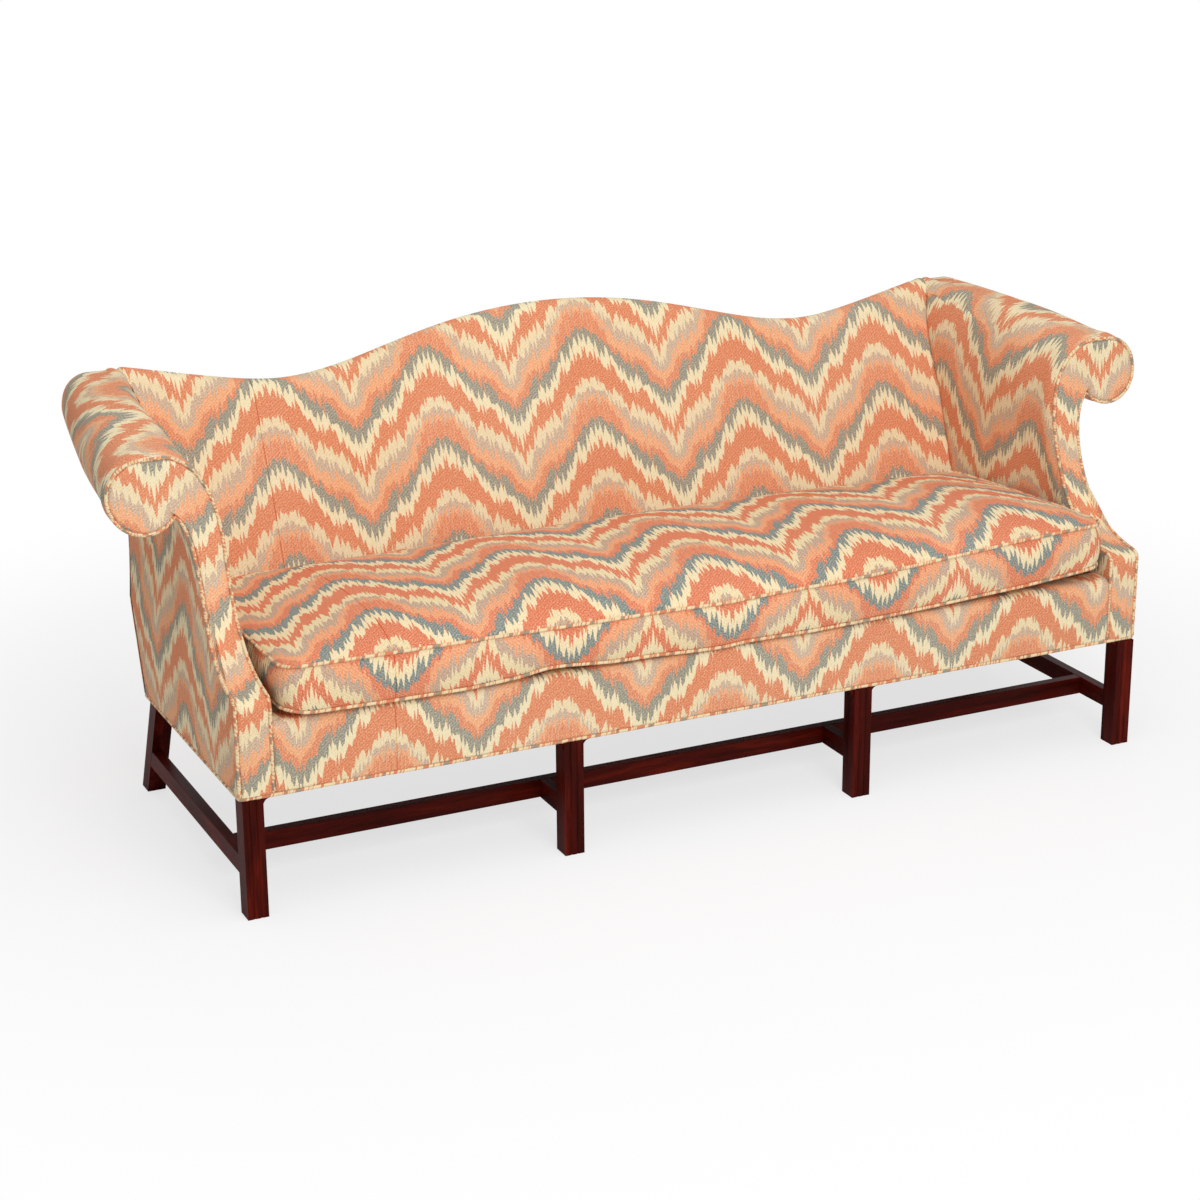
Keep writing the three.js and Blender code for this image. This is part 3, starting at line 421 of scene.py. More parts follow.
# %% Welt cloth
def welt_cloth(name):
    """Dashes of the cloth's colours along the cord: constant steps of a smooth noise of (u + 0.7 v)."""
    finish = Finish(name)
    across, up, _ = finish.apart(finish.node("ShaderNodeUVMap", {"uv_map": "cloth"}))
    slant = across + up * 0.35
    bands = finish.node("ShaderNodeTexNoise", {"noise_dimensions": "1D"}, {"W": slant, "Scale": 44.0, "Detail": 2.0})
    steps = [(0.0, linear((160, 150, 130))), (0.37, linear((219, 136, 98))), (0.46, linear((238, 216, 174))),
             (0.56, linear((228, 156, 114))), (0.64, linear((236, 212, 170))), (0.74, linear((204, 176, 148)))]
    colour = finish.node("ShaderNodeValToRGB", {"stops": steps}, {"Fac": bands})
    ramp = finish.tree.nodes[-1].color_ramp if hasattr(finish.tree.nodes[-1], "color_ramp") else None
    if ramp:
        ramp.interpolation = "CONSTANT"
    thread = (slant * (2 * math.pi / 0.0030)).math("SINE")
    depth = 0.97 + thread * 0.04
    colour = finish.blend(1.0, colour, finish.node("ShaderNodeCombineXYZ", sockets={0: depth, 1: depth, 2: depth}),
                          "MULTIPLY")
    bump = finish.node("ShaderNodeBump", sockets={"Height": thread, "Strength": 0.25, "Distance": 0.0005})
    return finish.done(Base_Color=colour, Roughness=0.95, Normal=bump, Specular_IOR_Level=0.12)


cord_cloth = welt_cloth("welt_cloth")
print("welt cloth ready")

# %% [markdown]
# The legs and stretchers are mahogany under a dark red polish: nearly black in the hollows, warm red where light
# catches it, with a fine grain that runs along each piece. The polish is a clear coat over a slightly rough wood.

# %% Wood
def mahogany(name, grain):
    """Polished wood whose grain runs along one axis: noise stretched twelve times that way."""
    finish = Finish(name)
    place = finish.node("ShaderNodeTexCoord", output=3)
    stretch = {"x": (1.2, 16.0, 16.0), "y": (16.0, 1.2, 16.0), "z": (16.0, 16.0, 1.2)}[grain]
    along = finish.node("ShaderNodeMapping", sockets={"Vector": place, "Scale": stretch})
    figure = finish.node("ShaderNodeTexNoise", sockets={"Vector": along, "Scale": 3.0, "Detail": 5.0,
                                                        "Distortion": 0.6})
    pores = finish.node("ShaderNodeTexNoise", sockets={"Vector": along, "Scale": 26.0, "Detail": 3.0})
    tone = figure * 0.75 + pores * 0.25
    colour = finish.node("ShaderNodeValToRGB", {"stops": [
        (0.30, linear((34, 5, 2))), (0.52, linear((70, 12, 5))), (0.72, linear((110, 26, 10)))]}, {"Fac": tone})
    bump = finish.node("ShaderNodeBump", sockets={"Height": pores, "Strength": 0.12, "Distance": 0.001})
    return finish.done(Base_Color=colour, Roughness=0.34 + figure * 0.1, Normal=bump, Coat_Weight=0.02,
                       Coat_Roughness=0.12, Specular_IOR_Level=0.05)


def plain_timber(name):
    """Pale frame timber, sawn and unpolished."""
    finish = Finish(name)
    place = finish.node("ShaderNodeTexCoord", output=3)
    along = finish.node("ShaderNodeMapping", sockets={"Vector": place, "Scale": (2.0, 22.0, 22.0)})
    figure = finish.node("ShaderNodeTexNoise", sockets={"Vector": along, "Scale": 4.0, "Detail": 5.0})
    colour = finish.node("ShaderNodeValToRGB", {"stops": [
        (0.3, linear((150, 115, 76))), (0.7, linear((199, 166, 120)))]}, {"Fac": figure})
    bump = finish.node("ShaderNodeBump", sockets={"Height": figure, "Strength": 0.2, "Distance": 0.002})
    return finish.done(Base_Color=colour, Roughness=0.8, Normal=bump)


polished = {grain: mahogany("mahogany_" + grain, grain) for grain in "xyz"}
sawn = plain_timber("frame_timber")
print("woods ready")

# %% [markdown]
# Three plain cloths are seldom seen: the strong cotton over the deck under the cushion, the black cambric that
# closes the underside, and the jute webbing between them. Each is a plain weave, over and under.

# %% Plain cloths
def plain_weave(name, dark, light, pitch, rough=0.95):
    """A plain weave: sin(x) times sin(y) makes the over-and-under squares, over object coordinates."""
    finish = Finish(name)
    x, y, z = finish.apart(finish.node("ShaderNodeTexCoord", output=3))
    warp = (x * (math.pi / pitch)).math("SINE")
    weft = ((y + z) * (math.pi / pitch)).math("SINE")
    slub = finish.node("ShaderNodeTexNoise", sockets={"Vector": finish.node("ShaderNodeTexCoord", output=3),
                                                      "Scale": 90.0, "Detail": 3.0})
    weave = warp * weft * 0.5 + 0.5
    colour = finish.blend(weave * 0.6 + slub * 0.4, linear(dark), linear(light))
    bump = finish.node("ShaderNodeBump", sockets={"Height": weave, "Strength": 0.4, "Distance": 0.0008})
    return finish.done(Base_Color=colour, Roughness=rough, Normal=bump)


deck_cotton = plain_weave("deck_cotton", (178, 160, 126), (216, 202, 170), 0.0011)
black_cambric = plain_weave("black_cambric", (20, 20, 22), (44, 44, 48), 0.0010)
jute_weave = plain_weave("jute_weave", (140, 112, 70), (196, 168, 118), 0.0024)
print("plain cloths ready")

# %% [markdown]
# The sizes below are the ones the sofa is cut to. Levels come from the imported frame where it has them.
# A slope and a taper give the raked back: its outer and inner faces as functions of height.

# %% Sizes
half_width = 1.000
cover = 0.007
gap = 0.0003
front_face = front_y + 0.005
cover_bottom = 0.2369
panel_bottom = cover_bottom + cover + gap
seat_level = 0.4580
back_thickness = 0.076
crest_thickness = 0.044
ear_height, crown_height, dip_height = 0.876, 0.914, 0.819
outer_slope = math.tan(math.radians(19.3))
thickness_taper = (back_thickness - crest_thickness) / (ear_height - seat_level)
inner_edge = half_width - 0.069
ear_place = half_width - 0.041
dip_place = half_width * 0.62
pad_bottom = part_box("seat_deck")[0].z
crest_edge = 0.0267
frame_thickness = 0.021


def mix(a, b, share):
    """The value a share of the way from a to b."""
    return a + (b - a) * share


def outer_y(z):
    """The back's rear face: its place at the bottom plus slope times height."""
    return front_face + 0.613 + outer_slope * (z - cover_bottom)


def inner_y(z):
    """The back's front face: the rear face less a thickness that tapers upwards."""
    return outer_y(z) - back_thickness + thickness_taper * (z - seat_level)


def bezier(p0, p1, p2, p3, count):
    """A cubic Bezier: (1-t)^3 p0 + 3(1-t)^2 t p1 + 3(1-t)t^2 p2 + t^3 p3."""
    t = np.linspace(0, 1, count)[:, None]
    p0, p1, p2, p3 = (np.array(p, float) for p in (p0, p1, p2, p3))
    return (1 - t) ** 3 * p0 + 3 * (1 - t) ** 2 * t * p1 + 3 * (1 - t) * t**2 * p2 + t**3 * p3


def evenly(path, count, closed=False):
    """A path's points moved to equal steps of its length."""
    path = np.vstack([path, path[:1]]) if closed else path
    length = np.r_[0, np.cumsum(np.linalg.norm(np.diff(path, axis=0), axis=1))]
    want = np.linspace(0, length[-1], count + 1)[:-1] if closed else np.linspace(0, length[-1], count)
    return np.stack([np.interp(want, length, path[:, k]) for k in range(path.shape[1])], axis=1)


hump = bezier((0, crown_height), (dip_place * 0.47, crown_height), (dip_place * 0.71, dip_height),
              (dip_place, dip_height), 60)
rise = bezier((dip_place, dip_height), (mix(dip_place, ear_place, 0.24), dip_height),
              (mix(dip_place, ear_place, 0.62), mix(ear_height, dip_height, 0.44)), (ear_place, ear_height), 60)
crest_line = np.vstack([hump, rise[1:]])


def crest_z(x):
    """Height of the camel back's top line at a distance from the centre."""
    return np.interp(np.abs(x), crest_line[:, 0], crest_line[:, 1])


print("crest from", crest_z(0.0), "to", crest_z(ear_place), "depth at floor", round(float(outer_y(cover_bottom)), 3))

# %% [markdown]
# Every cloth piece is a grid of points. `surface` skins such a grid with quads and lays the cloth's own
# coordinates over it in metres: across the pattern and up it, counted from a peak of the flame stitch.

# %% Surfaces
def finish_mesh(name, mesh, material, body):
    """Turns all faces outwards, shades them smoothly and links the piece to its body."""
    import bmesh
    work = bmesh.new()
    work.from_mesh(mesh)
    bmesh.ops.remove_doubles(work, verts=work.verts, dist=1e-5)
    bmesh.ops.recalc_face_normals(work, faces=work.faces)
    work.to_mesh(mesh)
    work.free()
    mesh.polygons.foreach_set("use_smooth", np.ones(len(mesh.polygons), bool))
    mesh.materials.append(material)
    piece = bpy.data.objects.new(name, mesh)
    scene.collection.objects.link(piece)
    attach(piece, body)
    return piece


def grid_faces(rows, columns, wrap):
    """Quads between neighbouring rows and columns, as vertex numbers and as places in the cloth array."""
    width = columns if wrap else columns - 1
    i, j = np.meshgrid(np.arange(rows - 1), np.arange(width), indexing="ij")
    k = (j + 1) % columns
    quads = np.stack([i * columns + j, i * columns + k, (i + 1) * columns + k, (i + 1) * columns + j], -1)
    places = np.stack([i, j, i, j + 1, i + 1, j + 1, i + 1, j], -1)
    return quads.reshape(-1, 4), places.reshape(-1, 4, 2)


def surface(name, points, cloth, material, body="sofa", wrap=False, caps=False):
    """Skins a grid of points. With wrap the columns close on themselves, and the cloth has one column more.
    Caps close the first and last row."""
    rows, columns, _ = points.shape
    quads, places = grid_faces(rows, columns, wrap)
    laid = cloth[places[..., 0], places[..., 1]]
    loops = quads.reshape(-1)
    cloth_loops = laid.reshape(-1, 2)
    starts = np.arange(len(quads)) * 4
    totals = np.full(len(quads), 4)
    if caps:
        for row in (0, rows - 1):
            starts = np.r_[starts, len(loops)]
            totals = np.r_[totals, columns]
            loops = np.r_[loops, row * columns + np.arange(columns)]
            cloth_loops = np.vstack([cloth_loops, cloth[row, :columns]])
    mesh = bpy.data.meshes.new(name)
    mesh.vertices.add(rows * columns)
    mesh.vertices.foreach_set("co", points.reshape(-1))
    mesh.loops.add(len(loops))
    mesh.loops.foreach_set("vertex_index", loops.astype(np.int32))
    mesh.polygons.add(len(starts))
    mesh.polygons.foreach_set("loop_start", starts.astype(np.int32))
    mesh.polygons.foreach_set("loop_total", totals.astype(np.int32))
    mesh.update(calc_edges=True)
    layer = mesh.uv_layers.new(name="cloth")
    layer.data.foreach_set("uv", cloth_loops.reshape(-1))
    mesh.validate()
    return finish_mesh(name, mesh, material, body)


def stack(*parts):
    """Puts broadcast coordinate arrays side by side as points."""
    return np.stack(np.broadcast_arrays(*parts), axis=-1)


def closed_cloth(cloth):
    """Repeats the first cloth column at the end, for a grid that wraps."""
    return np.concatenate([cloth, cloth[:, :1]], axis=1)


def running_length(points):
    """Distance along each row of points from its start."""
    step = np.linalg.norm(np.diff(points, axis=1), axis=2)
    return np.concatenate([np.zeros((len(points), 1)), np.cumsum(step, axis=1)], axis=1)


print("surface helper ready")

# %% [markdown]
# The inside back is one long pad. Its front face leans with the rake and swells a little in the middle, its top
# follows the camel hump in a half-round edge, and behind the crest the cloth runs down to the seam of the
# outside back. The timber stands in the hollow behind it, so the pad stops in front of the posts and rails.

# %% Inside back
def back_pad():
    """Rows across the sofa, columns round the section: up the front y = inner_y(z) - swell, over the crest as
    half an ellipse, down the rear to the seam, forward and down in front of the timber."""
    end = ear_place - 0.0006
    x = np.r_[np.linspace(-end, -end + 0.03, 12)[:-1], np.linspace(-end + 0.03, end - 0.03, 180),
              np.linspace(end - 0.03, end, 12)[1:]][:, None]
    from_end = np.clip((end - np.abs(x)) / 0.014, 0, 1)
    ease = np.sqrt(1 - (1 - from_end) ** 2)
    radius = crest_thickness / 2
    crest = crest_z(x) - 0.007 * (1 - ease)
    shoulder = crest - radius
    t = np.linspace(0, 1, 54)[None, :-1]
    z_front = mix(pad_bottom, shoulder, t)
    fade = np.clip(1 - (np.abs(x) / (inner_edge - 0.015)) ** 4, 0, 1)
    swell = 0.009 * fade * np.sin(math.pi * t)
    softness = 0.0016 * fade * np.sin(7.1 * x + 0.6) * np.sin(5 * math.pi * t)
    y_front = inner_y(z_front) - swell - softness + 0.006 * (1 - ease)
    turn = math.pi * (1 - np.linspace(0, 1, 19)[None, :])
    z_over = shoulder + radius * np.sin(turn)
    y_over = mix(inner_y(z_over), outer_y(z_over), (1 + np.cos(turn)) / 2)
    y_over = y_over + (0.006 * (1 - ease)) * (1 - (1 + np.cos(turn)) / 2)
    z_rear = crest_z(x) - crest_edge + 0 * turn[:, :1]
    y_rear = outer_y(z_rear)
    y_deep = outer_y(z_rear) - cover - gap - frame_thickness - gap
    z_low = np.full_like(z_rear, pad_bottom)
    y_low = outer_y(z_low) - cover - gap - frame_thickness - gap
    z = np.concatenate(np.broadcast_arrays(z_front, x)[:1] + [z_over, z_rear, z_rear, z_low], axis=1)
    y = np.concatenate([y_front, y_over, y_rear, y_deep, y_low], axis=1)
    points = stack(x, y, z)
    run = running_length(points) + pad_bottom * 1.087
    cloth = np.stack([np.broadcast_to(x - 0.060, run.shape), run - 0.684 * 1.087], axis=-1)
    return surface("back_pad", points, closed_cloth(cloth), frame_cloth, wrap=True, caps=True)


back = back_pad()
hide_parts("inside_back")
print("back pad", [round(v, 3) for v in back.dimensions])

# %% [markdown]
# The arms are the hardest form: an upright inside wall, a shoulder, and a roll that overhangs the outside. The
# roll narrows and rises towards the back. The front is cut along a line that steps back from an upright foot and
# sweeps up to the scroll. All the arm's pieces are worked out from the same few curves.

# %% Arm curves
arm_foot_top = cover_bottom + 0.196
arm_curve_top = 0.780
foot_radius = 0.017
scroll_plane = front_face + 0.249
roll_length = float(outer_y(0.808)) - scroll_plane


def arm_front_line():
    """The arm's front from the side, as (y, z): up the foot, round its corner, and a hollow Bezier to the scroll."""
    turn = np.linspace(math.pi, math.pi / 2, 14)[:, None]
    corner = np.array([front_face + foot_radius, arm_foot_top - foot_radius])
    arc = corner + foot_radius * np.hstack([np.cos(turn), np.sin(turn)])
    start = np.array([corner[0], arm_foot_top])

    def at(run, rise):
        return (mix(start[0], scroll_plane, run), mix(start[1], arm_curve_top, rise))

    sweep = bezier(at(0, 0), at(0.63, 0.07), at(0.87, 0.36), at(1, 1), 60)
    foot = [[front_face, cover_bottom - 0.06]]
    return np.vstack([foot, arc, sweep[1:], [[scroll_plane, 0.95]]])


front_line = arm_front_line()


def arm_front_y(z):
    """How far back the arm's front lies at a height."""
    return np.interp(z, front_line[:, 1], front_line[:, 0])


def arm_front_run(z):
    """Length of cloth up the arm's front to a height."""
    run = np.r_[0, np.cumsum(np.linalg.norm(np.diff(front_line, axis=0), axis=1))] + front_line[0, 1]
    return np.interp(z, front_line[:, 1], run)


def roll_share(y):
    """0 at the scroll, 1 at the back post."""
    return np.clip((y - scroll_plane) / roll_length, 0, 1)


def roll_shape(share):
    """Centre, radius and notch angle of the roll at a share of its length."""
    centre_x = half_width + mix(0.075, 0.018, share)
    centre_z = mix(0.765, 0.808, share)
    radius = mix(0.071, 0.061, share) + 0.008 * np.sin(math.pi * share)
    notch = np.radians(mix(-141.0, -125.0, share))
    return centre_x, centre_z, radius, notch


def curve_point(t, *corners):
    """A cubic Bezier on numbers that vary from row to row."""
    a, b, c, d = corners
    return (1 - t) ** 3 * a + 3 * (1 - t) ** 2 * t * b + 3 * (1 - t) * t**2 * c + t**3 * d


def shoulder_curve(share, t):
    """From the top of the inside wall over to the top of the roll."""
    centre_x, centre_z, radius, _ = roll_shape(share)
    top_x, top_z = centre_x - 0.035, centre_z + radius
    x = curve_point(t, inner_edge, inner_edge, mix(top_x, inner_edge, 0.5), top_x)
    z = curve_point(t, 0.645, mix(top_z, 0.645, 0.32), top_z, top_z)
    return x, z


def scroll_curve(share, t):
    """Round the roll, from its top out and under to the notch."""
    centre_x, centre_z, radius, notch = roll_shape(share)
    angle = mix(math.pi / 2, notch, t)
    return centre_x + radius * np.cos(angle), centre_z + radius * np.sin(angle)


def neck_curve(share, t):
    """Down the outside from the notch to the foot."""
    notch_x, notch_z = scroll_curve(share, 1.0)
    pinch = mix(0.018, 0.030, share)
    x = curve_point(t, notch_x, half_width - pinch, half_width - pinch * 0.88, half_width)
    z = curve_point(t, notch_z, mix(arm_foot_top, notch_z, 0.895), mix(arm_foot_top, notch_z, 0.447), arm_foot_top)
    return x, z


print("arm front reaches", round(float(arm_front_y(0.8) - front_face), 3), "m behind the foot")

# %% [markdown]
# The inside arm and the roll are one padded cover, carried from the facing back to the inside back. Each point
# needs its own depth, because the front is cut along the sweep and the back along the rake. The section changes
# with depth as well, so depth and section are worked out in turn until they agree.

# %% Inside arms and rolls
wall_columns, shoulder_columns, scroll_columns, under_columns = 44, 26, 54, 5


def arm_section(share):
    """The section at a share per point: the wall, the shoulder, the roll, and the closing under side."""
    edges = np.cumsum([wall_columns, shoulder_columns, scroll_columns])
    wall, shoulder, scroll, under = np.split(share, edges, axis=1)

    def along(part, end=False):
        return np.linspace(0, 1, part.shape[1], endpoint=end)[None, :]

    t = along(wall)
    wall_x, wall_z = mix(inner_edge - 0.015 * wall, inner_edge, t), mix(pad_bottom, 0.645, t) + 0 * wall
    shoulder_x, shoulder_z = shoulder_curve(shoulder, along(shoulder))
    scroll_x, scroll_z = scroll_curve(scroll, along(scroll, True))
    notch_x, notch_z = scroll_curve(under, 1.0)
    inside_x = inner_edge + 0.0217
    t = np.clip(along(under, True) * 2, 0, 1)
    drop = np.clip(along(under, True) * 2 - 1, 0, 1)
    under_x = mix(notch_x, inside_x, np.maximum(t, 0.25))
    under_z = mix(mix(notch_z, notch_z - 0.0188, np.maximum(t, 0.25)), pad_bottom, drop)
    return (np.concatenate([wall_x, shoulder_x, scroll_x, under_x], axis=1),
            np.concatenate([wall_z, shoulder_z, scroll_z, under_z], axis=1))


def section_normals(x, z):
    """Unit normals of each row's outline, to its left as it runs up the inside and over."""
    dx, dz = np.gradient(x, axis=1), np.gradient(z, axis=1)
    length = np.maximum(np.hypot(dx, dz), 1e-9)
    return -dz / length, dx / length


def arm_pad(side):
    """Rows from the facing to the back, columns round the section; side is 1 for the right arm, -1 for the left."""
    columns = wall_columns + shoulder_columns + scroll_columns + under_columns
    ahead = np.r_[0, 0.004, 0.009, 0.015, 0.023, 0.034, 0.05, 0.075] / 1.0
    row = np.r_[ahead, np.linspace(0.11, 0.955, 40), 0.975, 0.988, 0.996, 1.0][:, None]
    row = np.broadcast_to(row, (len(row), columns))
    y = mix(scroll_plane, outer_y(0.8), row)
    for _ in range(8):
        x, z = arm_section(roll_share(y))
        start = arm_front_y(z) + cover + 0.0009
        finish_at = np.where(x <= ear_place + 0.0004, inner_y(z) - gap, outer_y(z))
        y = mix(start, finish_at, row)
    out_x, out_z = section_normals(x, z)
    reach = (y - start)
    skin = np.ones(columns)
    skin[-under_columns - 1:] = 0
    skin[:wall_columns] = np.linspace(0, 1, wall_columns) ** 0.5
    near = 0.0030 * np.exp(-((reach - 0.028) / 0.018) ** 2) - 0.0022 * np.exp(-reach / 0.006)
    soft = 0.0016 * np.sin(23 * reach + 3 * z) * np.exp(-reach / 0.25)
    tail = -0.005 * np.clip(1 - (finish_at - y) / 0.012, 0, 1) ** 2
    over = np.zeros(columns)
    over[wall_columns:wall_columns + shoulder_columns] = np.sin(math.pi * np.linspace(0, 1, shoulder_columns)) ** 0.7
    ear = 0.021 * over * np.clip((roll_share(y) - 0.62) / 0.38, 0, 1) ** 1.5
    puff = (near + soft + tail) * skin + ear
    x, z = x + out_x * puff, z + out_z * puff
    on_roll = np.broadcast_to(skin > 0, x.shape)[-1] & (x[-1] > ear_place)
    rim = np.where(on_roll, 0.0265, 0.0)
    rim_x, rim_z = x[-1] - out_x[-1] * rim, z[-1] - out_z[-1] * rim
    deep = y[-1] - np.where(on_roll, cover + gap, 0.0)
    lip_x, lip_z = x[0] - out_x[0] * 0.004, z[0] - out_z[0] * 0.004
    points = stack(x, y, z)
    points = np.concatenate([stack(lip_x, np.max(y[0]) + 0.004, lip_z)[None], stack(lip_x, y[0], lip_z)[None], points,
                             stack(rim_x, y[-1], rim_z)[None], stack(rim_x, deep, rim_z)[None]])
    run = running_length(points) + pad_bottom
    place = points[..., 1] - front_y
    cloth = np.stack([-side * (place - 0.497 + 0.181), (run - 0.7644) * 0.897], axis=-1)
    points = points * np.array([side, 1, 1])
    return surface("arm_pad_" + ("right" if side > 0 else "left"), points, closed_cloth(cloth), frame_cloth,
                   wrap=True, caps=True)


for side, end in ((1, "right"), (-1, "left")):
    pad = arm_pad(side)
    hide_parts("inside_arm_" + end)
    print(pad.name, [round(v, 3) for v in pad.dimensions])

# %% [markdown]
# A facing closes each arm's front. Its outline is the arm's section, drawn a little inside the welt, and its face
# follows the front line, so it bends over the foot and hollows up to the scroll. The grid runs from the outline
# in to a spine: straight up the stem, then to the scroll's centre.

# %% Arm facings
def moved_in(points, distance):
    """An open outline moved to its right: each point goes along the mean of its neighbours' normals, lengthened at
    corners so that straight runs keep their distance."""
    step = np.diff(points, axis=0)
    normal = np.stack([step[:, 1], -step[:, 0]], 1) / np.linalg.norm(step, axis=1)[:, None]
    before, after = np.vstack([normal[:1], normal]), np.vstack([normal, normal[-1:]])
    reach = distance / (1 + (before * after).sum(1))
    return points + (before + after) * reach[:, None]


def arm_outline(inset, bottom, share=0.0):
    """The section from the inner bottom corner over the roll and down to the outer bottom corner, in three parts:
    the inner side up to the roll's top, the scroll, and the neck."""
    t = np.linspace(0, 1, 25)
    shoulder = np.stack(shoulder_curve(share, t), 1)
    scroll = np.stack(scroll_curve(share, np.linspace(0, 1, 61)), 1)
    neck = np.stack(neck_curve(share, t), 1)
    low = inner_edge - 0.015 * share
    line = np.vstack([[[low, bottom]], shoulder, scroll[1:], neck[1:], [[half_width, bottom]]])
    moved = moved_in(line, inset)
    moved[0, 1] = moved[-1, 1] = bottom
    return moved[:26], moved[25:86], moved[85:]


def facing(side):
    """Ribs from the outline in to the spine; y = arm_front_y(z), less a crown that dies away at the edge."""
    inner, scroll, neck = arm_outline(0.0053, panel_bottom)
    stem_count, rib_count = 90, 12
    inner = evenly(inner, stem_count)
    neck = evenly(neck, stem_count)[::-1]
    centre = np.array([half_width + 0.075, 0.765])
    spine = np.stack([mix(inner[:, 0], neck[:, 0], 0.5), mix(inner[:, 1], neck[:, 1], 0.5)], 1)
    ease = np.clip((np.linspace(0, 1, stem_count) - 0.72) / 0.28, 0, 1)[:, None] ** 2
    spine = mix(spine, np.array([[centre[0] - 0.012, centre[1] - 0.006]]), ease)
    hub = np.repeat(spine[-1:], len(scroll) - 2, axis=0)
    outline = np.vstack([inner, scroll[1:-1], neck[::-1]])
    middle = np.vstack([spine, hub, spine[::-1]])
    t = np.linspace(0, 1, rib_count)[None, :, None]
    flat = mix(outline[:, None, :], middle[:, None, :], t)
    x, z = flat[..., 0], flat[..., 1]
    width = np.linalg.norm(outline - middle, axis=1)[:, None]
    crown = 0.0032 * np.sqrt(np.clip(1 - (1 - t[..., 0]) ** 3, 0, 1)) * np.clip(width / 0.03, 0.4, 1) - 0.0012
    y = arm_front_y(z) - crown * 0.9
    rear = arm_front_y(z[:, :1]) + cover
    points = stack(x, y, z)
    points = np.concatenate([stack(x[:, :1], rear, z[:, :1]), points], axis=1)
    z_all = points[..., 2]
    across = side * (points[..., 0] - 1.055 + 0.181)
    cloth = np.stack([across, (arm_front_run(z_all) - 0.930) * (0.200 / 0.183)], axis=-1)
    points = points * np.array([side, 1, 1])
    return surface("arm_front_" + ("right" if side > 0 else "left"), points, cloth, frame_cloth)


for side, end in ((1, "right"), (-1, "left")):
    face = facing(side)
    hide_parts("arm_facing_" + end)
    print(face.name, [round(v, 3) for v in face.dimensions])

# %% [markdown]
# Welts run along the seams. A welt is a round cord carried along a path, so its surface is the path plus the
# cord's radius turned round it. The turning needs one direction beside the path at every point: on the facing it
# is the front surface's own normal, and on the flat seams it is simply up.

# %% Welts
def welt(name, path, beside, radius, body="sofa", closed=False, sides=12, phase=0.0):
    """points = path + radius (cos(a) beside + sin(a) across), with across square to the path and beside."""
    along = np.gradient(np.vstack([path[-1:], path, path[:1]]), axis=0)[1:-1] if closed else np.gradient(path, axis=0)
    along /= np.linalg.norm(along, axis=1)[:, None]
    beside = beside - along * (beside * along).sum(1)[:, None]
    beside /= np.linalg.norm(beside, axis=1)[:, None]
    across = np.cross(along, beside)
    angle = np.linspace(0, 2 * math.pi, sides, endpoint=False)[None, :, None]
    points = path[:, None] + radius * (np.cos(angle) * beside[:, None] + np.sin(angle) * across[:, None])
    run = np.r_[0, np.cumsum(np.linalg.norm(np.diff(path, axis=0), axis=1))] + phase
    if closed:
        points = np.concatenate([points, points[:1]])
        run = np.r_[run, run[-1] + np.linalg.norm(path[0] - path[-1])]
    turn = np.linspace(0, 2 * math.pi * radius, sides + 1)
    cloth = stack(run[:, None], turn[None, :])
    return surface(name, points, cloth, cord_cloth, body=body, wrap=True, caps=not closed)


def facing_welt(side):
    """Along the facing's edge, at half the cord's depth behind the front line."""
    parts = arm_outline(0.0015, panel_bottom)
    flat = evenly(np.vstack([parts[0], parts[1][1:], parts[2][1:]]), 2600)
    path = np.stack([flat[:, 0], arm_front_y(flat[:, 1]) + 0.0030, flat[:, 1]], 1)
    path = evenly(path, 520)
    slope = np.gradient(arm_front_y(np.linspace(0.2, 0.9, 1401)), 0.0005)
    tilt = np.interp(path[:, 2], np.linspace(0.2, 0.9, 1401), slope)
    outwards = np.stack([0 * tilt, -1 / np.hypot(1, tilt), tilt / np.hypot(1, tilt)], 1)
    path = path * np.array([side, 1, 1])
    return welt("arm_front_welt_" + ("right" if side > 0 else "left"), path, outwards, 0.0036, phase=side * 0.37)


for side, end in ((1, "right"), (-1, "left")):
    cord = facing_welt(side)
    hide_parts("arm_facing_welt_" + end)
    print(cord.name, [round(v, 3) for v in cord.dimensions])

# %% [markdown]
# The outside arm is a single cloth panel, drawn tight from under the roll down to the welt at the bottom edge.
# It is carried from the facing back to the rear edge and closed behind by its own padding.

# %% Outside arms
def outside_arm(side):
    """Rows from front to back, columns down the neck and foot; the inner side is the same line moved in."""
    t = np.linspace(0.03, 1, 40)[None, :]
    row = np.linspace(0, 1, 60)[:, None]
    down = np.linspace(0, 1, 22)[None, 1:]
    y = mix(scroll_plane, outer_y(0.6), row) + 0 * t
    for _ in range(8):
        x, z = neck_curve(roll_share(y), t)
        y = mix(arm_front_y(z) + cover + 0.0009, outer_y(z) - cover - gap, row)
    z_foot = mix(arm_foot_top, panel_bottom, down) + 0 * row
    y_foot = mix(arm_front_y(z_foot) + cover + 0.0009, outer_y(z_foot) - cover - gap, row)
    x = np.concatenate([x, np.full_like(z_foot, half_width)], axis=1)
    y, z = np.concatenate([y, y_foot], axis=1), np.concatenate([z, z_foot], axis=1)
    edge = np.clip(np.minimum(row, 1 - row) / 0.02, 0, 1)
    x = x - 0.0012 * (1 - edge) ** 2
    inner_side = stack(x - cover + 0.0004, y, z)[:, ::-1]
    outer_side = stack(x, y, z)
    points = np.concatenate([outer_side, inner_side], axis=1)
    across = side * (points[..., 1] - front_y - 0.325) * (0.362 / 0.352)
    cloth = np.stack([across, points[..., 2] - 0.538], axis=-1)
    points = points * np.array([side, 1, 1])
    return surface("arm_outside_" + ("right" if side > 0 else "left"), points, closed_cloth(cloth), frame_cloth,
                   wrap=True, caps=True)


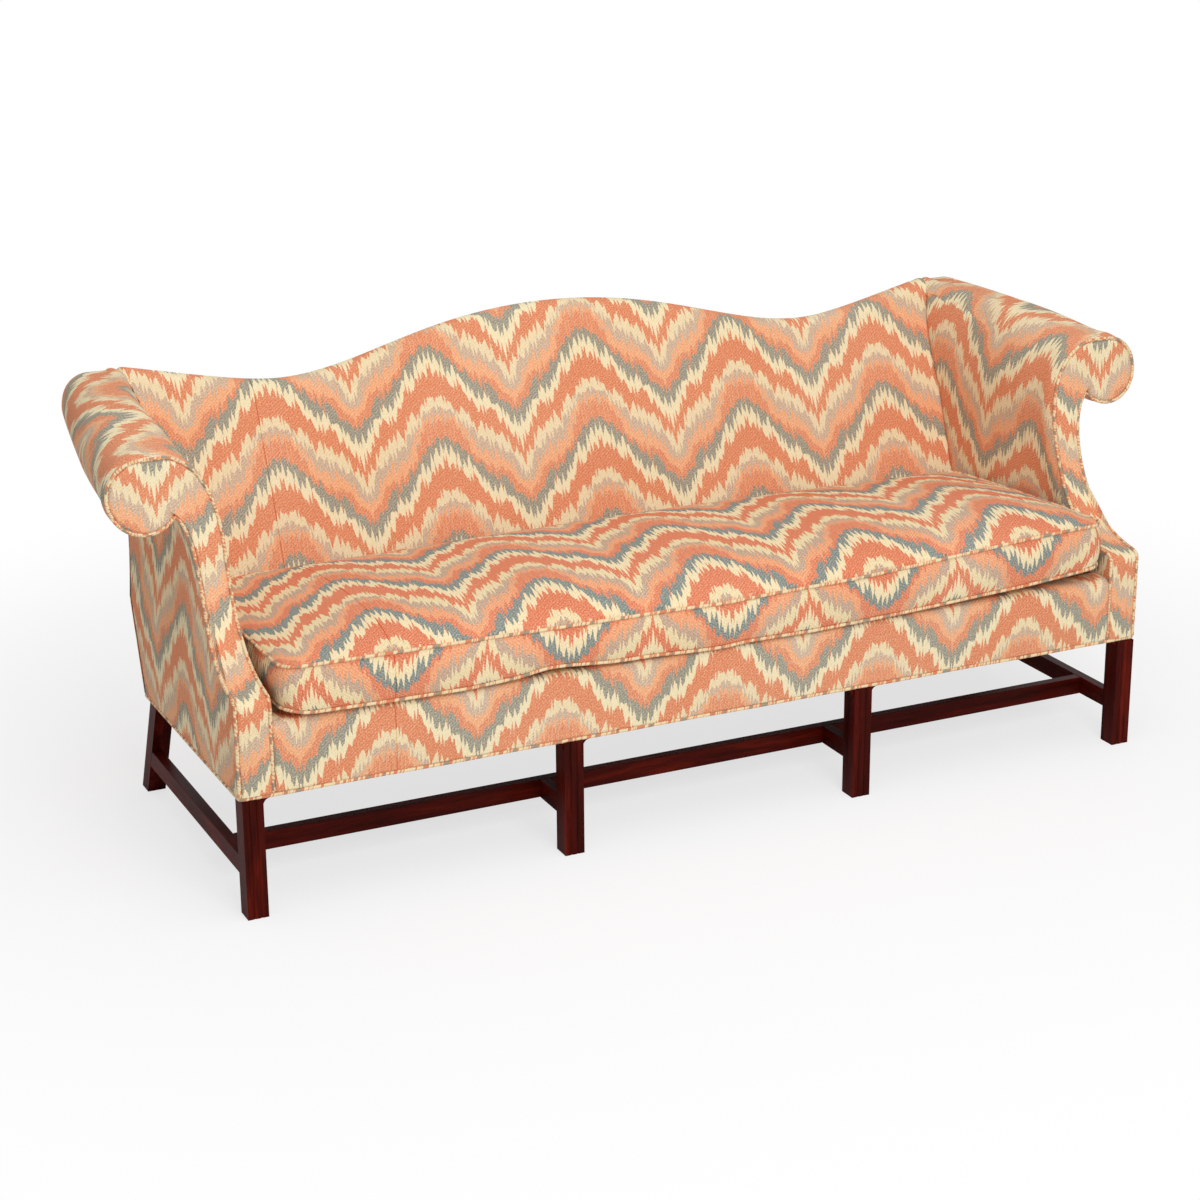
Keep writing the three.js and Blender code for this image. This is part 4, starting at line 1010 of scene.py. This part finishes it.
for side, end in ((1, "right"), (-1, "left")):
    panel = outside_arm(side)
    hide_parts("outside_arm_" + end)
    print(panel.name, [round(v, 3) for v in panel.dimensions])

# %% [markdown]
# The outside back is a flat panel in the plane of the rake. Its edge is blind-stitched a finger's width inside
# the padded crest and rolls. The grid runs from that outline in to a spine, as on the facings.

# %% Outside back
def outside_back():
    """Ribs from the outline to a level spine; the panel lies in the rear face, y = outer_y(z)."""
    spine_end = np.array([0.900, 0.560])
    x = np.linspace(0, 0.900, 60)
    crest = np.stack([x, crest_z(x) - crest_edge], 1)
    crest_spine = np.stack([x, np.full_like(x, 0.560)], 1)
    parts = arm_outline(crest_edge, panel_bottom, share=1.0)
    ear = np.array([[ear_place, ear_height - crest_edge]])
    roll = np.vstack([crest[-1:], ear, parts[1][:-1]])
    roll = evenly(roll, 60)[1:]
    t = np.linspace(0, 1, 40)
    neck = np.stack(neck_curve(1.0, t), 1)[2:]
    side_line = evenly(np.vstack([neck, [[half_width, panel_bottom]]]), 60)
    hub = np.array([0.955, 0.775])
    roll_spine = mix(spine_end, hub, np.clip(np.linspace(0, 1, len(roll)) * 2.2, 0, 1)[:, None])
    side_spine = mix(hub, spine_end, np.clip(np.linspace(0, 1, 60) * 1.6, 0, 1)[:, None])
    bottom = np.stack([x[::-1], np.full_like(x, panel_bottom)], 1)
    bottom_spine = crest_spine[::-1]
    outline = np.vstack([crest, roll, side_line, bottom])
    middle = np.vstack([crest_spine, roll_spine, side_spine, bottom_spine])
    outline = np.vstack([outline, (outline * [-1, 1])[::-1]])
    middle = np.vstack([middle, (middle * [-1, 1])[::-1]])
    t = np.linspace(0, 1, 9)[None, :, None]
    flat = mix(outline[:, None, :], middle[:, None, :], t)
    x, z = flat[..., 0], flat[..., 1]
    y = outer_y(z) - 0.0015 * (1 - np.minimum(t[..., 0] * 8, 1))
    front = stack(x[:, :1], y[:, :1] - cover + 0.0015, z[:, :1])
    points = np.concatenate([front, stack(x, y, z)], axis=1)
    cloth = np.stack([0.060 - points[..., 0], (points[..., 2] - 0.684) * 1.059], axis=-1)
    return surface("back_outside", points, cloth, frame_cloth)


rear_panel = outside_back()
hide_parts("outside_back")
print(rear_panel.name, [round(v, 3) for v in rear_panel.dimensions])

# %% [markdown]
# The border covers the front rail, between the two facings, and turns over it in a soft roll under the cushion.
# It is one profile carried across. Cloth that is pulled over a rail is never quite flat, so a few long, shallow
# waves run along it.

# %% Front border
border_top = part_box("seat_border")[1].z
border_reach = inner_edge + 0.0015 - 0.0035 - gap


def front_border():
    """profile(z) up the front face, a quarter round to the top, back 57 mm and down behind the rail."""
    depth = 0.057
    roll = bezier((front_face, border_top - 0.018), (front_face, border_top - 0.009),
                  (front_face + 0.009, border_top), (front_face + 0.018, border_top), 14)
    face = evenly(np.array([[front_face, panel_bottom], [front_face, border_top - 0.018]]), 30)
    top = evenly(np.array([[front_face + 0.018, border_top], [front_face + depth, border_top]]), 8)[1:]
    behind = np.array([[front_face + depth, pad_bottom], [front_face + cover, pad_bottom],
                       [front_face + cover, panel_bottom]])
    profile = np.vstack([face, roll[1:], top, behind])
    x = np.linspace(-border_reach, border_reach, 260)[:, None]
    up = np.clip((profile[:, 1] - panel_bottom) / (border_top - panel_bottom), 0, 1)[None, :]
    facing_out = (np.arange(len(profile)) < 42)[None, :]
    wave = 0.0014 * np.sin(9.3 * x + 1.1) * np.sin(math.pi * up) + 0.0008 * np.sin(31 * x) * np.sin(math.pi * up)
    y = profile[None, :, 0] - (wave + 0.0022 * np.sin(math.pi * up)) * facing_out
    z = profile[None, :, 1] + 0.0012 * np.sin(7.1 * x + 0.4) * (up > 0.98)
    points = stack(x, y, z)
    run = running_length(points) + panel_bottom
    cloth = np.stack([np.broadcast_to((x - 0.007) * (0.362 / 0.355), run.shape), run - 0.455], axis=-1)
    return surface("front_border", points, closed_cloth(cloth), frame_cloth, wrap=True, caps=True)


border = front_border()
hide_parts("seat_border")
print(border.name, [round(v, 3) for v in border.dimensions])

# %% [markdown]
# One long welt finishes the bottom edge of the cover all the way round, just above the legs.

# %% Bottom welt
def rounded_ring(x0, x1, y0, y1, radius, steps=8):
    """A rectangle in plan with a quarter circle at each corner."""
    corners = np.array([[x1 - radius, y0 + radius], [x1 - radius, y1 - radius],
                        [x0 + radius, y1 - radius], [x0 + radius, y0 + radius]])
    start = np.radians([-90, 0, 90, 180])
    angle = start[:, None] + np.linspace(0, math.pi / 2, steps + 1)[None, :]
    ring = corners[:, None] + radius * np.stack([np.cos(angle), np.sin(angle)], -1)
    return ring.reshape(-1, 2)


def bottom_welt():
    """A closed ring just inside the cover's faces, at the bottom edge, that wanders by half a millimetre."""
    rear = float(outer_y(cover_bottom))
    ring = rounded_ring(-half_width + 0.0015, half_width - 0.0015, front_face + 0.0015, rear - 0.0015, 0.007)
    ring = evenly(ring, 1500, closed=True)
    wander = 0.0005 * np.sin(19 * ring[:, 0] + 7 * ring[:, 1])
    path = np.column_stack([ring, cover_bottom + 0.0036 + wander])
    up = np.tile([0.0, 0.0, 1.0], (len(path), 1))
    return welt("base_welt", path, up, 0.0036, closed=True, sides=10)


base = bottom_welt()
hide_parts("bottom_welt")
print(base.name, [round(v, 3) for v in base.dimensions])

# %% [markdown]
# The loose cushion is a bench as long as the seat, with a top and a bottom panel, a boxing between them and a
# welt in each seam. It is stuffed full, so its top is high in the middle and falls away to the rear, and its
# front edge has been sat on: the seams run in slow waves and the right end curls up. Two lists hold the heights
# of the front seams. A short moving average turns each list into one smooth line.

# %% Cushion seams
cushion_side = inner_edge - 0.024
cushion_front = front_y + 0.0015
cushion_rear = front_y + 0.582
corner_radius = 0.036
seat_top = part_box("seat_deck")[1].z

# Place across the sofa and height above the floor, both in millimetres
high_seam_front = [(-907, 484), (-700, 481), (-500, 479), (-300, 476), (-100, 474), (0, 471), (100, 474),
                   (300, 477), (400, 482), (500, 488), (600, 494), (700, 501), (800, 505), (907, 508)]
low_seam_front = [(-907, 402), (-860, 391), (-700, 387), (-540, 385), (-440, 390), (-380, 399), (-340, 398),
                  (-240, 389), (-140, 387), (-60, 382), (0, 380), (60, 384), (200, 382), (300, 384), (400, 387),
                  (500, 391), (600, 396), (700, 400), (800, 407), (880, 414), (907, 419)]


def smooth_line(points, reach=0.030):
    """Straight lines between the points, then the mean over a window that reaches this far each way."""
    x = np.linspace(-1.0, 1.0, 801)
    levels = np.interp(x * 1000, *zip(*points)) / 1000
    window = np.hanning(2 * round(reach / (x[1] - x[0])) + 3)
    half = len(window) // 2
    levels = np.convolve(np.pad(levels, half, mode="edge"), window / window.sum(), "valid")
    return lambda place: np.interp(place, x, levels)


high_front, low_front = smooth_line(high_seam_front), smooth_line(low_seam_front, 0.022)


def from_front(y):
    """0 at the front seam, 1 at the rear one."""
    return np.clip((y - cushion_front) / (cushion_rear - cushion_front), 0, 1)


def high_seam(x, y):
    return mix(high_front(x), 0.474, from_front(y) ** 1.3)


def low_seam(x, y):
    return mix(low_front(x), 0.397, from_front(y) ** 0.7)


print("front seams", np.round(low_front([-0.9, 0, 0.9]), 3), np.round(high_front([-0.9, 0, 0.9]), 3))

# %% [markdown]
# The cushion's mesh is rings: from the middle of the bottom panel out to the low seam, up the boxing and back in
# over the top. Each panel's crown is largest in the middle and dies at the seam. The numbers in `crown` were
# read from how the flames on the real cushion close up and spread out as the cloth curves.

# %% Cushion shape
def cushion_plan(outset, count=480):
    """The plan's outline at equal steps, starting at the middle of the front and running to the right."""
    ring = rounded_ring(-cushion_side - outset, cushion_side + outset, cushion_front - outset,
                        cushion_rear + outset, corner_radius + outset)
    return evenly(np.vstack([[[0.0, cushion_front - outset]], ring]), count, closed=True)


def crown(x, y, share):
    """Height of the top over its seams, (1 - share^4)^0.8, less towards the ends and the rear."""
    rear = np.clip((y - front_y - 0.25) / 0.335, 0, 1)
    return 0.064 * (1 - 0.30 * (x / 0.7) ** 2) * (1 - share**4) ** 0.8 * (1 - 0.35 * rear**1.2)


def settled(x, y, share):
    """Small unevenness of the filling, and short puckers that start at the seam and die away from it."""
    hollows = 0.0018 * np.sin(5.3 * x + 1.0) * np.cos(9.1 * y) * (1 - share**4)
    along = np.where(np.abs(x) > cushion_side - 0.05, y, x)
    pucker = np.sin(61 * along + 2 * np.sin(17 * along)) * np.sin(23 * along + 0.7)
    return hollows + 0.0016 * pucker * share**10 * (1 - share) / 0.04


def drawn_in(plan, share):
    """The plan's outline shrunk towards a level spine along the cushion's length."""
    middle, half_depth = (cushion_front + cushion_rear) / 2, (cushion_rear - cushion_front) / 2
    spine = np.clip(plan[:, 0], half_depth - cushion_side, cushion_side - half_depth)
    return np.stack([mix(spine, plan[:, 0], share), mix(middle, plan[:, 1], share)], 1)


def cushion_rings():
    """All rings, and the number of rings in one panel."""
    plan = cushion_plan(0.0)
    shares = np.r_[0.0, 0.06, 0.14, 0.24, 0.34, 0.44, 0.54, 0.63, 0.71, 0.78, 0.84, 0.89, 0.93, 0.96, 0.982]
    rings = []
    for share in shares:
        x, y = drawn_in(plan, share).T
        rings.append(np.column_stack([x, y, mix(seat_top + 0.0006, low_seam(x, y), share**9)]))
    for t in np.linspace(0, 1, 17):
        x, y = cushion_plan(-0.0030 + 0.0105 * np.sin(math.pi * t) ** 0.6).T
        rings.append(np.column_stack([x, y, mix(low_seam(x, y), high_seam(x, y), t)]))
    for share in shares[::-1]:
        x, y = drawn_in(plan, share).T
        rings.append(np.column_stack([x, y, high_seam(x, y) + crown(x, y, share) + settled(x, y, share)]))
    return np.stack(rings), len(shares)


cushion_points, panel_rings = cushion_rings()
print("cushion rings", cushion_points.shape, "top at", round(cushion_points[..., 2].max(), 3))

# %% [markdown]
# The cloth is laid on face by face, because the panels and the boxing are separate pieces of it. A panel counts
# its distance from the front seam over the crown. The boxing was cut the other way up, so its flames point down
# and meet the flames of the top in diamonds along the welt.

# %% Cushion cloth
cushion_repeat = np.array([repeat_width / 0.350, repeat_height / 0.206])


def over_crown(y):
    """Distance over the top from the front seam, at the middle of the sofa."""
    steps = np.linspace(cushion_front, cushion_rear, 400)
    share = np.abs(2 * from_front(steps) - 1)
    level = high_seam(0 * steps, steps) + crown(0 * steps, steps, share)
    run = np.r_[0, np.cumsum(np.hypot(np.diff(steps), np.diff(level)))]
    return np.interp(y, steps, run)


def panel_cloth(points):
    x, y = points[..., 0], points[..., 1]
    return np.stack([x - 0.0174 - 0.05 * (y - front_y - 0.155), over_crown(y) - 0.170], -1) * cushion_repeat


def boxing_cloth(points):
    """Sideways along the outline from the middle of the front; downwards from the high seam."""
    plan = cushion_plan(0.0)
    run = np.r_[0, np.cumsum(np.linalg.norm(np.diff(np.vstack([plan, plan[:1]]), axis=0), axis=1))]
    run = np.where(run > run[-1] / 2, run - run[-1], run)
    closed = np.concatenate([points, points[:, :1]], axis=1)
    drop = high_seam(closed[..., 0], closed[..., 1]) - closed[..., 2]
    return np.stack(np.broadcast_arrays((run - 0.0177) * (0.350 / 0.346), 1.12 * drop - 0.101), -1) * cushion_repeat


def cushion_mesh(points):
    """The wrapped grid; its first and last ring lie folded on the spine, where merging closes them. Faces
    between the two seams take the boxing's cloth."""
    rows, columns, _ = points.shape
    quads, places = grid_faces(rows, columns, True)
    panel = closed_cloth(panel_cloth(points))[places[..., 0], places[..., 1]]
    boxing = boxing_cloth(points)[places[..., 0], places[..., 1]]
    wrapped = np.ptp(boxing[..., 0], axis=1, keepdims=True) > 1.0
    outline = cushion_plan(0.0)
    outline_length = np.linalg.norm(outline - np.roll(outline, 1, axis=0), axis=1).sum()
    boxing[..., 0] += wrapped * (boxing[..., 0] < 0) * outline_length * (0.350 / 0.346) * cushion_repeat[0]
    on_boxing = (places[:, 0, 0] >= panel_rings) & (places[:, 2, 0] <= rows - 1 - panel_rings)
    laid = np.where(on_boxing[:, None, None], boxing, panel)
    loops = quads.reshape(-1)
    mesh = bpy.data.meshes.new("bench_cushion")
    mesh.vertices.add(rows * columns)
    mesh.vertices.foreach_set("co", points.reshape(-1))
    mesh.loops.add(len(loops))
    mesh.loops.foreach_set("vertex_index", loops.astype(np.int32))
    mesh.polygons.add(len(quads))
    mesh.polygons.foreach_set("loop_start", np.arange(0, len(loops), 4, dtype=np.int32))
    mesh.polygons.foreach_set("loop_total", np.full(len(quads), 4, np.int32))
    mesh.update(calc_edges=True)
    mesh.uv_layers.new(name="cloth").data.foreach_set("uv", laid.reshape(-1))
    return mesh


bench = finish_mesh("bench_cushion", cushion_mesh(cushion_points), cushion_cloth, "cushion")
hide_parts("seat_cushion")
print(bench.name, [round(v, 3) for v in bench.dimensions])

# %% [markdown]
# The cushion's two welts follow its seams, waves and all.

# %% Cushion welts
for name, node, level in (("cushion_welt_low", "cushion_bottom_welt", low_seam),
                          ("cushion_welt_high", "cushion_top_welt", high_seam)):
    plan = cushion_plan(0.0005, 1400)
    path = np.column_stack([plan, level(plan[:, 0], plan[:, 1])])
    up = np.tile([0.0, 0.0, 1.0], (len(path), 1))
    cord = welt(name, path, up, 0.0034, body="cushion", closed=True, sides=10)
    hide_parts(node)
    print(cord.name, [round(v, 3) for v in cord.dimensions])

# %% [markdown]
# Under the cushion lies the deck, a firm pad in strong cotton that fills the seat from border to back.

# %% Deck
def deck_pad():
    """Rings from the bottom out and back in over the top, crowned a little, like a very flat cushion."""
    low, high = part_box("seat_deck")
    x, y = np.meshgrid(np.linspace(-1, 1, 90), np.linspace(0, 1, 34), indexing="ij")
    rear_pull = 1 - 0.015 * y
    half = (high.x - 0.0005)
    place_x = x * half * rear_pull / 1.0
    place_y = mix(low.y + 0.0003, high.y - 0.0008, y)
    edge = np.minimum(np.minimum(1 - np.abs(x), 1.0) * half / 0.02, np.minimum(y, 1 - y) * 0.51 / 0.02)
    round_off = np.sqrt(np.clip(1 - (1 - np.clip(edge, 0, 1)) ** 2, 0, 1))
    top = low.z + (high.z - low.z) * (0.35 + 0.65 * round_off) - 0.0002
    upper = stack(place_x, place_y, top)
    lower = stack(place_x, place_y, np.full_like(top, low.z))
    points = np.concatenate([upper, lower[:, ::-1]], axis=1)
    cloth = points[..., :2]
    return surface("seat_platform", points, closed_cloth(cloth), deck_cotton, wrap=True, caps=True)


platform = deck_pad()
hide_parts("seat_deck")
print(platform.name, [round(v, 3) for v in platform.dimensions])

# %% [markdown]
# Jute webbing carries the deck: straps from the front rail to the rear rail, and straps from side to side woven
# over and under them. A strap is a thin box carried along a line whose height swings between over and under.

# %% Webbing
strap_width, strap_thickness, strap_lift = 0.050, 0.0008, 0.00045
webbing_low, webbing_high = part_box("seat_webbing")
strap_places = np.linspace(-0.84, 0.84, 13), front_y + np.array([0.115, 0.235, 0.355, 0.475])


def straps(lengthwise):
    """Rows along each strap, four corners round it; height = middle + lift cos(pi crossing), turned each time."""
    across, crossed = strap_places if not lengthwise else strap_places[::-1]
    start, end = (webbing_low.x, webbing_high.x) if lengthwise else (webbing_low.y, webbing_high.y)
    along = np.linspace(start + 0.001, end - 0.001, 165 if lengthwise else 61)
    crossing = np.interp(along, crossed, np.arange(len(crossed)))
    swing = strap_lift * np.cos(math.pi * crossing) * (-1.0) ** np.arange(len(across))[:, None]
    middle = (webbing_low.z + webbing_high.z) / 2 + (-swing if lengthwise else swing)
    side = np.array([-1, 1, 1, -1]) * strap_width / 2
    rise = np.array([-1, -1, 1, 1]) * strap_thickness / 2
    wide = across[:, None, None] + 0 * along[None, :, None] + side
    long = along[None, :, None] + 0 * wide
    points = stack(long, wide, middle[..., None] + rise) if lengthwise else stack(wide, long, middle[..., None] + rise)
    quads = grid_faces(len(along), 4, True)[0]
    ends = np.array([[3, 2, 1, 0], np.arange(4) + 4 * (len(along) - 1)])
    faces = np.vstack([quads, ends])
    shifts = np.arange(len(across))[:, None, None] * len(along) * 4
    return points.reshape(-1, 3), (faces + shifts).reshape(-1, 4)


def webbing():
    front_points, front_faces = straps(False)
    long_points, long_faces = straps(True)
    mesh = bpy.data.meshes.new("webbing_straps")
    mesh.from_pydata(np.vstack([front_points, long_points]).tolist(), [],
                     np.vstack([front_faces, long_faces + len(front_points)]).tolist())
    return finish_mesh("webbing_straps", mesh, jute_weave, "sofa")


web = webbing()
web.data.polygons.foreach_set("use_smooth", np.zeros(len(web.data.polygons), bool))
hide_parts("seat_webbing")
print(web.name, [round(v, 3) for v in web.dimensions])

# %% [markdown]
# Black cambric is tacked under the rails and sags a little between them. It is cut out round every leg, so the
# sheet is a grid whose lines include the legs' sides, without the cells that a leg passes through.

# %% Cambric
def cambric_sheet():
    """z = level - sag (1 - x^2)(1 - y^2) over the underside, 0.4 mm thick."""
    low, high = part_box("dust_cover")
    legs = [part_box(name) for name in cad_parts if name.startswith(("front_leg", "rear_leg", "leg_bracket"))]
    legs = [(a, b) for a, b in legs if b.z > low.z - 0.004]
    lines_x = np.unique(np.round(np.r_[np.linspace(low.x, high.x, 67), [v for a, b in legs for v in
                                       (a.x - 0.0005, b.x + 0.0005)]], 5))
    lines_y = np.unique(np.round(np.r_[np.linspace(low.y, high.y, 23), [v for a, b in legs for v in
                                       (a.y - 0.0005, b.y + 0.0005)]], 5))
    lines_x = lines_x[(lines_x >= low.x - 1e-5) & (lines_x <= high.x + 1e-5)]
    lines_y = lines_y[(lines_y >= low.y - 1e-5) & (lines_y <= high.y + 1e-5)]
    x, y = np.meshgrid(lines_x, lines_y, indexing="ij")
    share_x = 2 * (x - low.x) / (high.x - low.x) - 1
    share_y = 2 * (y - low.y) / (high.y - low.y) - 1
    z = high.z - 0.0006 - 0.0035 * (1 - share_x**2) * (1 - share_y**2)
    quads = grid_faces(len(lines_x), len(lines_y), False)[0]
    points = stack(x, y, z).reshape(-1, 3)
    centre = points[quads].mean(axis=1)
    keep = np.ones(len(quads), bool)
    for a, b in legs:
        keep &= ~((centre[:, 0] > a.x) & (centre[:, 0] < b.x) & (centre[:, 1] > a.y) & (centre[:, 1] < b.y))
    used, faces = np.unique(quads[keep], return_inverse=True)
    mesh = bpy.data.meshes.new("cambric")
    mesh.from_pydata(points[used].tolist(), [], faces.reshape(-1, 4).tolist())
    return finish_mesh("cambric", mesh, black_cambric, "sofa")


under_cloth = cambric_sheet()
thickness = under_cloth.modifiers.new("thickness", "SOLIDIFY")
thickness.thickness, thickness.offset = 0.0004, 0.0
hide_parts("dust_cover")
print(under_cloth.name, [round(v, 3) for v in under_cloth.dimensions])

# %% [markdown]
# The wood keeps its own solids. A fine bevel takes the sharpness off every edge, so that edges catch the light
# as sanded and polished ones do.

# %% Wood finishes
wood_grain = {"front_leg": "z", "rear_leg": "z", "end_stretcher": "y", "stub_stretcher": "y",
              "medial_stretcher": "x", "leg_bracket": "z"}
timber_names = ("seat_side_rail", "seat_brace", "front_corner_block", "rear_corner_block", "back_post",
                "back_stile", "arm_board", "arm_top_rail", "arm_lower_rail", "seat_front_rail", "seat_rear_rail",
                "back_top_rail", "back_lower_rail")


def repaint(node, material):
    """Puts one finish in all of a node's material slots."""
    slots = node.data.materials
    if not len(slots):
        slots.append(material)
    for place in range(len(slots)):
        slots[place] = material


def soften_edges(node, width):
    """Joins the solid's loose triangles and rounds its edges."""
    weld = node.modifiers.new("weld", "WELD")
    weld.merge_threshold = 0.00002
    bevel = node.modifiers.new("bevel", "BEVEL")
    bevel.width = width
    bevel.segments = 2
    bevel.limit_method = "ANGLE"
    bevel.angle_limit = math.radians(35)
    bevel.harden_normals = False


painted = 0
for name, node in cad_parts.items():
    grain = next((axis for start, axis in wood_grain.items() if name.startswith(start)), None)
    if grain:
        repaint(node, polished[grain])
        soften_edges(node, 0.0012)
        painted += 1
    elif name.startswith(timber_names):
        repaint(node, sawn)
        painted += 1
print(painted, "wooden nodes finished")
